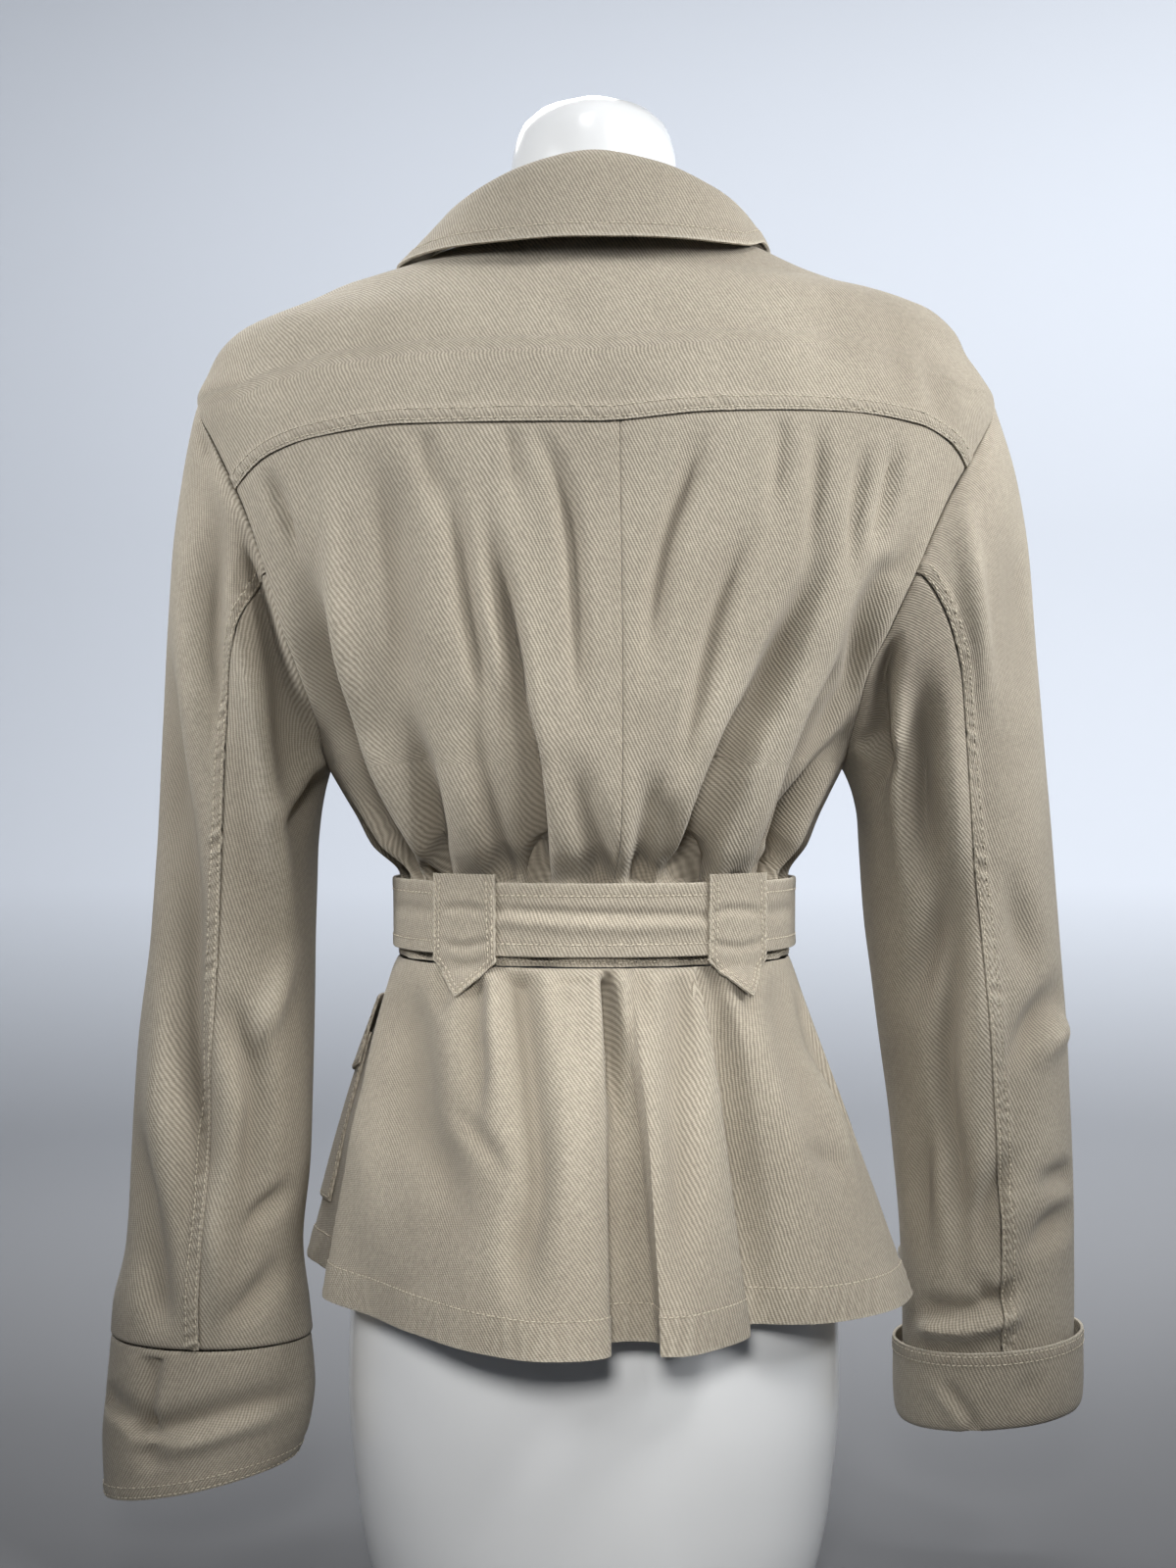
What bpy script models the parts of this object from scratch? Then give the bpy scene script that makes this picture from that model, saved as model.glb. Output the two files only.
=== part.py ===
"""A belted utility jacket on a plain display form: every cut piece of cloth is a thin wall at real size.

Tables and sizes are in millimetres and angles in degrees. The back of the jacket faces -Y, +X is the
wearer's right, +Z is up, and the origin is the middle of the form's flat underside. Angles go round from
centre back (0) to the wearer's right side (90) and left side (-90); 180 is centre front.
"""
import math

import bmesh
import bpy
from mathutils import Vector

MM = 0.001

# Cloth and seams
CLOTH = 1.6
DOUBLE_CLOTH = 2.4
SEAM = 0.35
YOKE_GAP = 0.8
LAY = 0.5

# Heights
HEM = 177.0
WAIST_SEAM = 362.0
BELT_LOW = 367.4
BELT_HIGH = 406.8
UNDERARM = 469.8
SHOULDER_TIP = 677.2
NECK_PIT = 700.0
NECK_LEFT = 757.0
NECK_RIGHT = 761.0

# Angles of the seams
CENTRE_BACK = 6.5
SIDE_SEAM = 90.0
SHOULDER_SEAM_AT_NECK = 96.0
ARMHOLE_BACK_REACH = 23.0
ARMHOLE_FRONT_REACH = 22.0
ARMHOLE_SKEW = 0.35
ARMHOLE_GAP = 1.2
NECK_GAP_ANGLE = 8.0


class Table:
    """A short table read along its first column, with a smooth curve through each other column."""

    def __init__(self, columns, rows):
        self.keys = [float(row[0]) for row in rows]
        self.curves = {}
        for place, name in enumerate(columns[1:], start=1):
            values = [float(row[place]) for row in rows]
            self.curves[name] = (values, self._slopes(values))

    def _slopes(self, values):
        keys = self.keys
        steps = [(values[i + 1] - values[i]) / (keys[i + 1] - keys[i]) for i in range(len(keys) - 1)]
        slopes = [steps[0]]
        for before, after in zip(steps, steps[1:]):
            slopes.append(0.0 if before * after <= 0 else 2 * before * after / (before + after))
        slopes.append(steps[-1])
        return slopes

    def read(self, name, at):
        """The value of one column at a key, held at its end values outside the table."""
        keys = self.keys
        values, slopes = self.curves[name]
        at = min(max(at, keys[0]), keys[-1])
        i = 0
        while i < len(keys) - 2 and at > keys[i + 1]:
            i += 1
        width = keys[i + 1] - keys[i]
        t = (at - keys[i]) / width
        rise = values[i + 1] - values[i]
        a = slopes[i] * width - rise
        b = rise - slopes[i + 1] * width
        return values[i] + t * rise + t * (1 - t) * ((1 - t) * a + t * b)


# Rings of the body of the jacket: half widths to each side, depth to the back and to the front
BODY = Table(
    ("height", "left", "right", "back", "front", "squareness"),
    [
        (360, 111, 111, 96, 90.5, 2.1),
        (407, 111, 111, 96, 90.5, 2.1),
        (425, 127, 122, 114, 103, 2.15),
        (440, 135, 128, 121, 112, 2.2),
        (455, 144, 135, 125, 118, 2.2),
        (470, 152, 142, 127, 122, 2.2),
        (484, 157, 147, 128, 125, 2.25),
        (500, 167, 155, 128, 127, 2.3),
        (520, 182, 166, 127, 128, 2.35),
        (545, 198, 185, 125, 128, 2.4),
        (577, 209, 204, 122, 125, 2.4),
        (620, 216, 217, 117.5, 116, 2.4),
        (650, 223, 226, 114.5, 107, 2.3),
        (665, 226, 229, 112, 102, 2.2),
        (677, 226, 228, 109.5, 98, 2.1),
        (690, 221, 221.5, 106, 93, 2.0),
        (703, 215, 213, 101, 87, 1.95),
        (714, 205, 208, 96, 82, 1.9),
        (722, 190, 201, 92, 78, 1.85),
        (729, 172, 192, 88, 75, 1.8),
        (736, 157, 172, 84, 72, 1.75),
        (741, 147, 150, 81, 70, 1.7),
        (748, 122, 131, 77, 67, 1.7),
        (754, 103, 116, 73, 65, 1.75),
        (760, 90, 102, 69, 62, 1.8),
        (765, 84, 92, 66, 60, 1.8),
    ],
)

# Seam between the yoke and the backs
YOKE_SEAM = Table(
    ("angle", "height"),
    [
        (-72.4, 620),
        (-65, 636),
        (-58, 643),
        (-43, 648),
        (0, 648),
        (30, 654),
        (54, 656),
        (65, 652),
        (70, 645),
        (74.7, 632),
    ],
)
YOKE_LEFT_CORNER = 620.0
YOKE_RIGHT_CORNER = 632.0

# Long soft folds that rise from the belt; lean is degrees per 100 mm of rise
BODICE_FOLDS = [
    {"angle": -148, "lean": 2, "spread": 7.5, "depth": 5.5, "top": 560},
    {"angle": -124, "lean": 1, "spread": 7.5, "depth": 6.0, "top": 540},
    {"angle": -102, "lean": 0, "spread": 6.5, "depth": 5.0, "top": 480},
    {"angle": -77, "lean": 0, "spread": 6.0, "depth": 5.0, "top": 480},
    {"angle": -60, "lean": 1, "spread": 6.5, "depth": 7.5, "top": 615},
    {"angle": -40, "lean": -3, "spread": 6.0, "depth": 5.0, "top": 530},
    {"angle": -17, "lean": -5, "spread": 6.0, "depth": 7.5, "top": 590},
    {"angle": 16, "lean": 2, "spread": 6.0, "depth": 4.0, "top": 540},
    {"angle": 32, "lean": 7, "spread": 6.5, "depth": 8.0, "top": 580},
    {"angle": 46, "lean": 4, "spread": 5.5, "depth": 4.0, "top": 500},
    {"angle": 59, "lean": 0, "spread": 6.0, "depth": 6.5, "top": 640},
    {"angle": 77, "lean": 0, "spread": 6.0, "depth": 5.0, "top": 480},
    {"angle": 103, "lean": 0, "spread": 6.5, "depth": 5.0, "top": 480},
    {"angle": 126, "lean": -1, "spread": 7.5, "depth": 6.0, "top": 550},
    {"angle": 146, "lean": -2, "spread": 7.5, "depth": 5.5, "top": 540},
]
FOLD_BEHIND_BELT = 0.55

# Sleeves from armhole to cuff: the outer and inner lines, the middle and half depth front to back, and how
# far each section still follows the armhole
SLEEVE_COLUMNS = ("station", "outer_x", "outer_z", "inner_x", "inner_z", "middle", "depth", "armhole")
SLEEVES = {
    "left": Table(
        SLEEVE_COLUMNS,
        [
            (0, 226.5, 677, 152.5, 469, 0, 77, 1.0),
            (1, 231.0, 655, 154.5, 458, 0, 76, 0.5),
            (2, 235.5, 625, 156.5, 446, 0, 74, 0.15),
            (3, 239.0, 592, 157.5, 434, 0, 71, 0.0),
            (4, 242.0, 550, 158.5, 421, 0, 68, 0.0),
            (5, 245.0, 500, 159.0, 404, 1, 65, 0.0),
            (6, 248.0, 440, 160.0, 375, 3, 62, 0.0),
            (7, 253.0, 378, 161.0, 340, 5, 60, 0.0),
            (8, 261.0, 313, 162.0, 296, 6, 57, 0.0),
            (9, 265.0, 250, 163.5, 244, 6, 53, 0.0),
            (10, 268.5, 197, 168.0, 196, 6, 49, 0.0),
            (11, 276.0, 163, 164.0, 162, 6, 46, 0.0),
            (12, 277.5, 145, 162.0, 144, 6, 44, 0.0),
        ],
    ),
    "right": Table(
        SLEEVE_COLUMNS,
        [
            (0, 229.0, 676, 144.0, 470, 0, 77, 1.0),
            (1, 235.0, 655, 147.5, 460, 1, 76, 0.5),
            (2, 242.0, 630, 150.5, 449, 2, 74, 0.15),
            (3, 247.5, 596, 152.0, 438, 4, 71, 0.0),
            (4, 252.0, 545, 153.0, 424, 6, 68, 0.0),
            (5, 257.0, 495, 154.5, 405, 9, 65, 0.0),
            (6, 263.0, 438, 157.0, 380, 13, 62, 0.0),
            (7, 269.0, 376, 162.0, 345, 18, 60, 0.0),
            (8, 275.0, 312, 169.0, 298, 24, 57, 0.0),
            (9, 279.0, 252, 175.5, 248, 28, 53, 0.0),
            (10, 281.0, 200, 180.0, 198, 30, 49, 0.0),
            (11, 281.0, 160, 182.0, 156, 30, 46, 0.0),
            (12, 281.0, 136, 182.0, 130, 30, 44, 0.0),
        ],
    ),
}
SLEEVE_SIDE = {"left": -1, "right": 1}
SLEEVE_BACK_SEAM = 90.0
SLEEVE_FRONT_SEAM = 235.0
SLEEVE_STATIONS = 12

# Left cuff, hanging down: sections from its seam to its hem
CUFF_LEFT = Table(
    ("station", "outer_x", "outer_z", "inner_x", "inner_z", "middle", "depth"),
    [
        (0, 277.0, 143.8, 163.0, 143.0, 6, 43),
        (1, 280.0, 112, 161.0, 116, 6, 41),
        (2, 282.5, 84, 164.0, 92, 6, 40),
        (3, 281.0, 52, 171.0, 74, 6, 38),
    ],
)

# Right cuff, turned back: the wall runs down inside, round the fold and up outside
CUFF_RIGHT = Table(
    ("station", "outer_x", "outer_z", "inner_x", "inner_z", "middle", "depth"),
    [
        (0, 280.3, 134.6, 182.7, 128.6, 30, 43),
        (1, 279.8, 118, 183.0, 112, 30, 42.5),
        (2, 280.5, 102, 182.5, 92, 30, 43),
        (3, 283.5, 98.5, 180.0, 88, 30, 46),
        (4, 286.0, 104, 177.0, 94, 30, 49),
        (5, 286.5, 120, 176.0, 111, 30, 50),
        (6, 286.0, 143, 176.5, 134, 30, 50),
    ],
)

# Turn-down collar: its fold line and the free edge of its leaf
COLLAR = Table(
    ("angle", "fold_out", "fold_height", "edge_out", "edge_height"),
    [
        (-166, 93, 716, 113, 664),
        (-135, 92, 741, 121, 712),
        (-108, 90, 761, 121, 748),
        (-90, 89, 771, 113, 755),
        (-76, 87, 776, 110, 752),
        (-54, 82, 784, 104, 750),
        (-30, 76, 794, 97, 749),
        (0, 73, 800, 93, 749),
        (30, 76, 795, 97, 750),
        (54, 83, 786, 101, 753),
        (76, 88, 778, 99, 763),
        (90, 92, 772, 101, 765),
        (108, 92, 763, 110, 757),
        (135, 92, 742, 121, 714),
        (166, 93, 716, 113, 664),
    ],
)
COLLAR_END = 166.0
COLLAR_SEAM = 1.8

# Skirt part below the waist: each row is a fold, ridge or flat along the cloth from the left front edge
# round the back; the cloth doubles back where the hem angle turns
PEPLUM = Table(
    ("station", "waist_angle", "hem_angle", "hem_out", "flare"),
    [
        (0, -180, -180, 140, 0.8),
        (1, -165, -166, 143, 0.8),
        (2, -148, -148, 152, 0.8),
        (3, -128, -128, 174, 0.75),
        (4, -110, -111, 182, 0.7),
        (5, -100, -99, 162, 0.7),
        (6, -92, -89, 147, 0.7),
        (7, -84, -80, 149, 0.7),
        (8, -74, -71, 157, 0.7),
        (9, -56, -53, 149, 0.7),
        (10, -38, -36, 157, 0.7),
        (11, -24, -20, 173, 0.75),
        (12, -11, -9, 181, 0.8),
        (13, -2, -1, 177, 0.8),
        (14, 2.5, 2.6, 168, 0.85),
        (15, 4, 1.2, 157, 0.9),
        (16, 5.5, 1.5, 146, 0.9),
        (17, 7.5, 6.5, 142, 0.9),
        (18, 9.5, 12.5, 147, 0.9),
        (19, 11, 12.6, 160, 0.9),
        (20, 12.5, 11.0, 173, 0.85),
        (21, 17, 15, 175, 0.85),
        (22, 24, 22, 167, 0.85),
        (23, 28.5, 28, 159, 0.9),
        (24, 31, 31, 153, 0.9),
        (25, 32.5, 29.8, 142, 0.95),
        (26, 34, 31.5, 133, 0.95),
        (27, 37, 37.5, 135, 0.95),
        (28, 41, 43, 148, 0.95),
        (29, 46, 48, 159, 0.95),
        (30, 56, 57, 171, 0.95),
        (31, 67, 68, 180, 0.95),
        (32, 75, 76, 181, 0.95),
        (33, 83, 83, 167, 0.9),
        (34, 91, 90, 157, 0.9),
        (35, 100, 98, 158, 0.85),
        (36, 111, 110, 168, 0.85),
        (37, 128, 127, 168, 0.85),
        (38, 148, 147, 152, 0.8),
        (39, 165, 166, 143, 0.8),
        (40, 180, 180, 140, 0.8),
    ],
)
PEPLUM_LEFT_SEAM = 6.0
PEPLUM_RIGHT_SEAM = 34.0
PEPLUM_END = 40.0

# Belt: how far its inner face stands off the waist along the strap; it rises over the bar of the buckle
BELT_LIFT = Table(
    ("angle", "lift"),
    [
        (-178, 1.0),
        (160, 1.0),
        (167, 1.1),
        (172, 3.2),
        (177, 7.6),
        (180, 8.1),
        (183, 7.7),
        (188, 4.9),
        (193, 4.0),
        (222, 4.0),
    ],
)
BELT_START = -178.0
BELT_END = 222.0
WAIST_RING = 387.0

# Slide buckle
BUCKLE_INNER_WIDTH = 48.0
BUCKLE_INNER_HEIGHT = 41.6
BUCKLE_BAR = 4.0
BUCKLE_BACK = 95.4
BUCKLE_DEEP = 2.8

# Pointed belt loops
LOOPS = {"left": -41.0, "right": 46.0}
LOOP_HALF_WIDTH = 19.0
LOOP_TOP = 411.0
LOOP_CORNER = 364.5
LOOP_TIP = 346.0
LOOP_CLEAR = 0.6

# Front closing
PLACKET_HALF_WIDTH = 15.0
PLACKET_LOW = 415.0
PLACKET_HIGH = 697.0
BUTTON_RADIUS = 8.0
BUTTON_THICK = 3.0
BUTTON_TAPER = 0.86
BODICE_BUTTONS = (440.0, 502.0, 564.0, 626.0, 684.0)
PEPLUM_BUTTONS = (0.25, 0.62)

# Patch pockets on the skirt part, as stations along the cloth and shares of its drop
POCKETS = {"left": (2.25, 4.9), "right": (35.2, 37.7)}
POCKET_TOP = 0.26
POCKET_BOTTOM = 0.80
FLAP_TOP = 0.15
FLAP_BOTTOM = 0.36
FLAP_POINT = 0.43

# Display form: rings from its flat underside to the top of its neck
FORM = Table(
    ("height", "side", "back", "front"),
    [
        (0, 117, 93, 87),
        (8, 124, 99, 93),
        (60, 135, 107, 99),
        (120, 140, 111, 101),
        (177, 138, 110, 99),
        (240, 126, 101, 93),
        (300, 108, 88, 84),
        (350, 96, 81, 76),
        (387, 93, 78, 74),
        (430, 99, 84, 83),
        (470, 110, 93, 97),
        (520, 121, 101, 107),
        (570, 130, 104, 106),
        (620, 146, 102, 96),
        (655, 168, 98, 85),
        (677, 182, 94, 78),
        (692, 182, 90, 73),
        (704, 175, 86, 69),
        (714, 166, 82, 66),
        (722, 153, 78, 63),
        (729, 139, 75, 61),
        (736, 124, 71, 58),
        (741, 112, 68, 56),
        (748, 92, 63, 53),
        (757, 70, 57, 49),
        (770, 56, 52, 46),
        (790, 49, 48, 44),
        (815, 47, 46, 43),
        (833, 42, 42, 40),
        (844, 30, 30, 29),
        (849, 14, 14, 14),
    ],
)
FORM_COLUMNS = 24

# Heights of the rows of the bodice walls
BODICE_LEVELS = (
    *(384, 407, 413, 420, 433, 451, 470, 479, 498, 528, 568, 610),
    *(645, 665, 677, 690, 700, 707, 716, 727, 738, 748),
)

SURFACES = {
    "twill": ((0.40, 0.36, 0.28), 0.9),
    "form_white": ((0.92, 0.92, 0.92), 0.18),
    "button": ((0.30, 0.26, 0.20), 0.45),
    "buckle": ((0.33, 0.30, 0.24), 0.4),
}


def spread(start, end, count):
    """Evenly spaced values from start to end, count steps apart."""
    return [start + (end - start) * i / count for i in range(count + 1)]


def lerp(start, end, share):
    """The value a share of the way from start to end."""
    return start + (end - start) * share


def smooth(share):
    """A soft step from 0 to 1."""
    share = min(max(share, 0.0), 1.0)
    return share * share * (3 - 2 * share)


def ring_reach(angle, side, back, front, squareness):
    """How far a ring stands from its middle in one direction."""
    across = abs(math.sin(math.radians(angle)))
    along = math.cos(math.radians(angle))
    depth = back if along > 0 else front
    return ((across / side) ** squareness + (abs(along) / depth) ** squareness) ** (-1 / squareness)


def polar(angle, reach, height):
    """The point at an angle and reach from the upright axis."""
    turn = math.radians(angle)
    return Vector((reach * math.sin(turn), -reach * math.cos(turn), height))


def wrapped(angle):
    """The same angle between -180 and 180."""
    return (angle + 180.0) % 360.0 - 180.0


def body_reach(angle, height):
    """How far the smooth body of the jacket stands from the axis."""
    side = BODY.read("right" if wrapped(angle) > 0 else "left", height)
    return ring_reach(
        angle, side, BODY.read("back", height), BODY.read("front", height), BODY.read("squareness", height)
    )


def fold_depth(angle, height):
    """How deep the folds above the belt lie at a place on the bodice."""
    total = 0.0
    for fold in BODICE_FOLDS:
        rise = height - BELT_HIGH
        off = wrapped(angle - fold["angle"] - fold["lean"] * max(rise, 0.0) / 100.0) / fold["spread"]
        if abs(off) < 3:
            fade = lerp(1, FOLD_BEHIND_BELT, smooth(-rise / 12))
            if rise > 0:
                fade = 1 - smooth(rise / (fold["top"] - BELT_HIGH))
            total += fold["depth"] * fade * math.exp(-off * off)
    return total


def body(angle, height):
    """A point of the smooth body of the jacket."""
    return polar(angle, body_reach(angle, height), height)


def bodice(angle, height):
    """A point of the folded bodice."""
    return polar(angle, body_reach(angle, height) - fold_depth(angle, height), height)


def moved_out(surface, u, v, lift, steps=(0.2, 0.2)):
    """A point of a surface moved out square to it."""
    along = surface(u + steps[0], v) - surface(u - steps[0], v)
    up = surface(u, v + steps[1]) - surface(u, v - steps[1])
    return surface(u, v) + along.cross(up).normalized() * lift


def armhole_edge(height, reach, front):
    """Angle of the side seam, armhole or shoulder seam at a height, from centre back on either side."""
    if height <= UNDERARM:
        return SIDE_SEAM
    if height >= SHOULDER_TIP:
        return lerp(SIDE_SEAM, SHOULDER_SEAM_AT_NECK, (height - SHOULDER_TIP) / (NECK_LEFT - SHOULDER_TIP))
    middle = (UNDERARM + SHOULDER_TIP) / 2
    cosine = (height - middle) / ((SHOULDER_TIP - UNDERARM) / 2)
    bulge = reach * math.sqrt(max(0.0, 1 - cosine * cosine)) * (1 - ARMHOLE_SKEW * cosine)
    return SIDE_SEAM + bulge if front else SIDE_SEAM - bulge


def seam_angle(angle, height):
    """The angle that the seam allowance takes up at a place on the body."""
    return math.degrees(SEAM / body_reach(angle, height))


def neck_height(angle):
    """Height of the neck seam."""
    turn = abs(angle)
    rim = lerp(NECK_LEFT, NECK_RIGHT, 0.5 + 0.5 * math.sin(math.radians(angle)))
    if turn <= SHOULDER_SEAM_AT_NECK:
        return rim
    return rim - (rim - NECK_PIT) * ((turn - SHOULDER_SEAM_AT_NECK) / (180 - SHOULDER_SEAM_AT_NECK)) ** 1.5


def neck_angle(height, rim):
    """Angle of the front neck seam at a height."""
    if height <= NECK_PIT:
        return 180.0
    share = (rim - height) / (rim - NECK_PIT)
    return SHOULDER_SEAM_AT_NECK - NECK_GAP_ANGLE + (180 - SHOULDER_SEAM_AT_NECK) * share ** (1 / 1.5)


def back_panel(side):
    """Surface of one back panel over u from its outer edge to centre back and v from waist to yoke."""
    sign = SLEEVE_SIDE[side]
    corner = YOKE_LEFT_CORNER if side == "left" else YOKE_RIGHT_CORNER
    low = WAIST_SEAM + SEAM

    def point(u, v):
        level = lerp(low, corner, v)
        lifted = smooth((level - UNDERARM) / (corner - UNDERARM))

        def raised(angle):
            return level + lifted * (YOKE_SEAM.read("height", angle) - YOKE_GAP - corner)

        edge = sign * armhole_edge(level, ARMHOLE_BACK_REACH, False)
        for _ in range(4):
            edge = sign * armhole_edge(raised(edge), ARMHOLE_BACK_REACH, False)
        edge -= sign * seam_angle(70, level)
        middle = CENTRE_BACK + sign * seam_angle(0, level)
        angle = lerp(edge, middle, u)
        return bodice(angle, raised(angle))

    return point


def front_panel(side):
    """Surface of one front panel over u from centre front to its outer edge and v from waist to neck."""
    sign = SLEEVE_SIDE[side]
    rim = NECK_LEFT if side == "left" else NECK_RIGHT
    low = WAIST_SEAM + SEAM

    def point(u, v):
        height = lerp(low, rim - 2.0, v)
        edge = armhole_edge(height, ARMHOLE_FRONT_REACH, True) + seam_angle(100, height)
        middle = min(neck_angle(height, rim), 180 - seam_angle(180, height))
        return bodice(sign * lerp(middle, edge, u), height)

    return point


def yoke(u, v):
    """Surface of the yoke over u from left to right and v from the yoke seam to the neck."""
    left = lerp(YOKE_LEFT_CORNER, NECK_LEFT, v)
    right = lerp(YOKE_RIGHT_CORNER, NECK_RIGHT, v)
    start = -armhole_edge(left, ARMHOLE_BACK_REACH, False) + 2 * seam_angle(-80, left)
    end = armhole_edge(right, ARMHOLE_BACK_REACH, False) - 2 * seam_angle(80, right)
    angle = lerp(start, end, u)
    height = lerp(YOKE_SEAM.read("height", angle) + YOKE_GAP, neck_height(angle) - SEAM, v)
    return body(angle, height)


def armhole_loop(side, turn):
    """A point of the armhole edge: 0 at the shoulder, 90 at the back, 180 under the arm."""
    sign = SLEEVE_SIDE[side]
    middle = (UNDERARM + SHOULDER_TIP) / 2
    height = middle + (SHOULDER_TIP - UNDERARM) / 2 * math.cos(math.radians(turn))
    front = math.sin(math.radians(turn)) < 0
    reach = ARMHOLE_FRONT_REACH if front else ARMHOLE_BACK_REACH
    edge = armhole_edge(min(max(height, UNDERARM + 0.001), SHOULDER_TIP - 0.001), reach, front)
    return body(sign * edge, height) + Vector((sign * ARMHOLE_GAP, 0, 0))


def tube_section(table, side, turn, station):
    """A point round a slanted section given by its outer and inner lines."""
    sign = SLEEVE_SIDE[side]
    outer = Vector((sign * table.read("outer_x", station), 0, table.read("outer_z", station)))
    inner = Vector((sign * table.read("inner_x", station), 0, table.read("inner_z", station)))
    round_turn = math.radians(turn)
    point = (outer + inner) / 2 + (outer - inner) / 2 * math.cos(round_turn)
    point.y = table.read("middle", station) - table.read("depth", station) * math.sin(round_turn)
    return point


def sleeve(side):
    """Surface of one sleeve over the turn round it and the station along it."""
    table = SLEEVES[side]

    def point(turn, station):
        free = tube_section(table, side, turn, station)
        held = table.read("armhole", station)
        if held <= 0:
            return free
        return armhole_loop(side, turn).lerp(free, 1 - held)

    return point


def collar(angle, share):
    """Surface of the folded collar over the angle and the share of the way from neck seam to free edge."""
    base_height = neck_height(angle) + COLLAR_SEAM
    base_out = body_reach(angle, neck_height(angle)) - 4.0
    fold_out = COLLAR.read("fold_out", angle)
    fold_height = COLLAR.read("fold_height", angle)
    edge_out = COLLAR.read("edge_out", angle)
    edge_height = COLLAR.read("edge_height", angle)
    section = Table(
        ("share", "out", "height"),
        [
            (0.00, base_out, base_height),
            (0.22, lerp(base_out, fold_out - 2.4, 0.55), lerp(base_height, fold_height - 4, 0.5)),
            (0.42, fold_out - 2.4, fold_height - 4.5),
            (0.50, fold_out + 0.8, fold_height),
            (0.58, fold_out + 4.4, fold_height - 3.6),
            (0.80, lerp(fold_out + 4.4, edge_out, 0.5) + 0.8, lerp(fold_height - 3.6, edge_height, 0.5)),
            (1.00, edge_out, edge_height),
        ],
    )
    return polar(angle, section.read("out", share), section.read("height", share))


def peplum(station, drop):
    """Surface of the skirt part over the station along the cloth and the share of the drop to the hem."""
    waist_angle = PEPLUM.read("waist_angle", station)
    hem_angle = PEPLUM.read("hem_angle", station)
    waist_out = body_reach(waist_angle, WAIST_SEAM)
    share = max(drop, 0.0) ** PEPLUM.read("flare", station)
    angle = lerp(waist_angle, hem_angle, max(drop, 0.0) ** 0.8)
    reach = lerp(waist_out, PEPLUM.read("hem_out", station), share)
    return polar(angle, reach, lerp(WAIST_SEAM - SEAM, HEM, drop))


def peplum_reach(angle, height):
    """How far the outermost cloth of the skirt part stands out near an angle at a height."""
    drop = (WAIST_SEAM - SEAM - height) / (WAIST_SEAM - SEAM - HEM)
    best = 0.0
    for step in range(int(PEPLUM_END * 6) + 1):
        place = peplum(step / 6, drop)
        here = math.degrees(math.atan2(place.x, -place.y))
        if abs(wrapped(here - angle)) < 4:
            best = max(best, math.hypot(place.x, place.y))
    return best


def waist(angle, height, lift):
    """A point off the waist by a lift, for the strap of the belt."""
    flat = polar(angle, body_reach(angle, WAIST_RING), 0)
    ahead = polar(angle + 0.2, body_reach(angle + 0.2, WAIST_RING), 0)
    behind = polar(angle - 0.2, body_reach(angle - 0.2, WAIST_RING), 0)
    out = (ahead - behind).cross(Vector((0, 0, 1))).normalized()
    return flat + out * lift + Vector((0, 0, height))


def material(name):
    """The named surface as a Principled material."""
    found = bpy.data.materials.get(name)
    if found:
        return found
    colour, roughness = SURFACES[name]
    made = bpy.data.materials.new(name)
    made.use_nodes = True
    shader = made.node_tree.nodes["Principled BSDF"]
    shader.inputs["Base Color"].default_value = (*colour, 1.0)
    shader.inputs["Roughness"].default_value = roughness
    return made


def place(name, mesh, surface):
    """One named object from a finished mesh."""
    data = bpy.data.meshes.new(name)
    mesh.to_mesh(data)
    mesh.free()
    data.materials.append(material(surface))
    made = bpy.data.objects.new(name, data)
    bpy.context.scene.collection.objects.link(made)
    return made


def grid(point, columns, rows, flip):
    """A grid of faces through a surface read at the given columns and rows."""
    mesh = bmesh.new()
    across, up = len(columns) - 1, len(rows) - 1
    bmesh.ops.create_grid(mesh, x_segments=across, y_segments=up, size=1.0)
    for vert in mesh.verts:
        u = columns[round((vert.co.x + 1) / 2 * across)]
        v = rows[round((vert.co.y + 1) / 2 * up)]
        vert.co = point(u, v) * MM
    bmesh.ops.remove_doubles(mesh, verts=mesh.verts, dist=1e-6)
    if flip:
        bmesh.ops.reverse_faces(mesh, faces=mesh.faces)
    return mesh


def cloth(name, point, columns, rows, flip=False, wall=CLOTH):
    """One cut piece of cloth: a grid given a wall on its inner side."""
    made = place(name, grid(point, columns, rows, flip), "twill")
    layer = made.modifiers.new("wall", "SOLIDIFY")
    layer.thickness = wall * MM
    layer.offset = -1.0
    layer.use_even_offset = False
    return made


def build_bodice():
    """Backs, fronts and yoke."""
    corner = {"left": YOKE_LEFT_CORNER, "right": YOKE_RIGHT_CORNER}
    levels = [z for z in BODICE_LEVELS if z < 600]
    for side, sign in SLEEVE_SIDE.items():
        low = WAIST_SEAM + SEAM
        rows = [0.0] + [(z - low) / (corner[side] - low) for z in levels] + [1.0]
        cloth(f"back_{side}", back_panel(side), spread(0, 1, 19), rows, flip=sign > 0)
    for side, sign in SLEEVE_SIDE.items():
        low = WAIST_SEAM + SEAM
        high = (NECK_LEFT if side == "left" else NECK_RIGHT) - 2.0
        rows = [0.0] + [(z - low) / (high - low) for z in BODICE_LEVELS] + [1.0]
        cloth(f"front_{side}", front_panel(side), spread(0, 1, 12), rows, flip=sign > 0)
    rows = [0.0, 0.12, 0.22, 0.31, 0.38, 0.43, 0.5, 0.59, 0.68, 0.77, 0.86, 0.93, 1.0]
    cloth("yoke", yoke, spread(0, 1, 26), rows)


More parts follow.
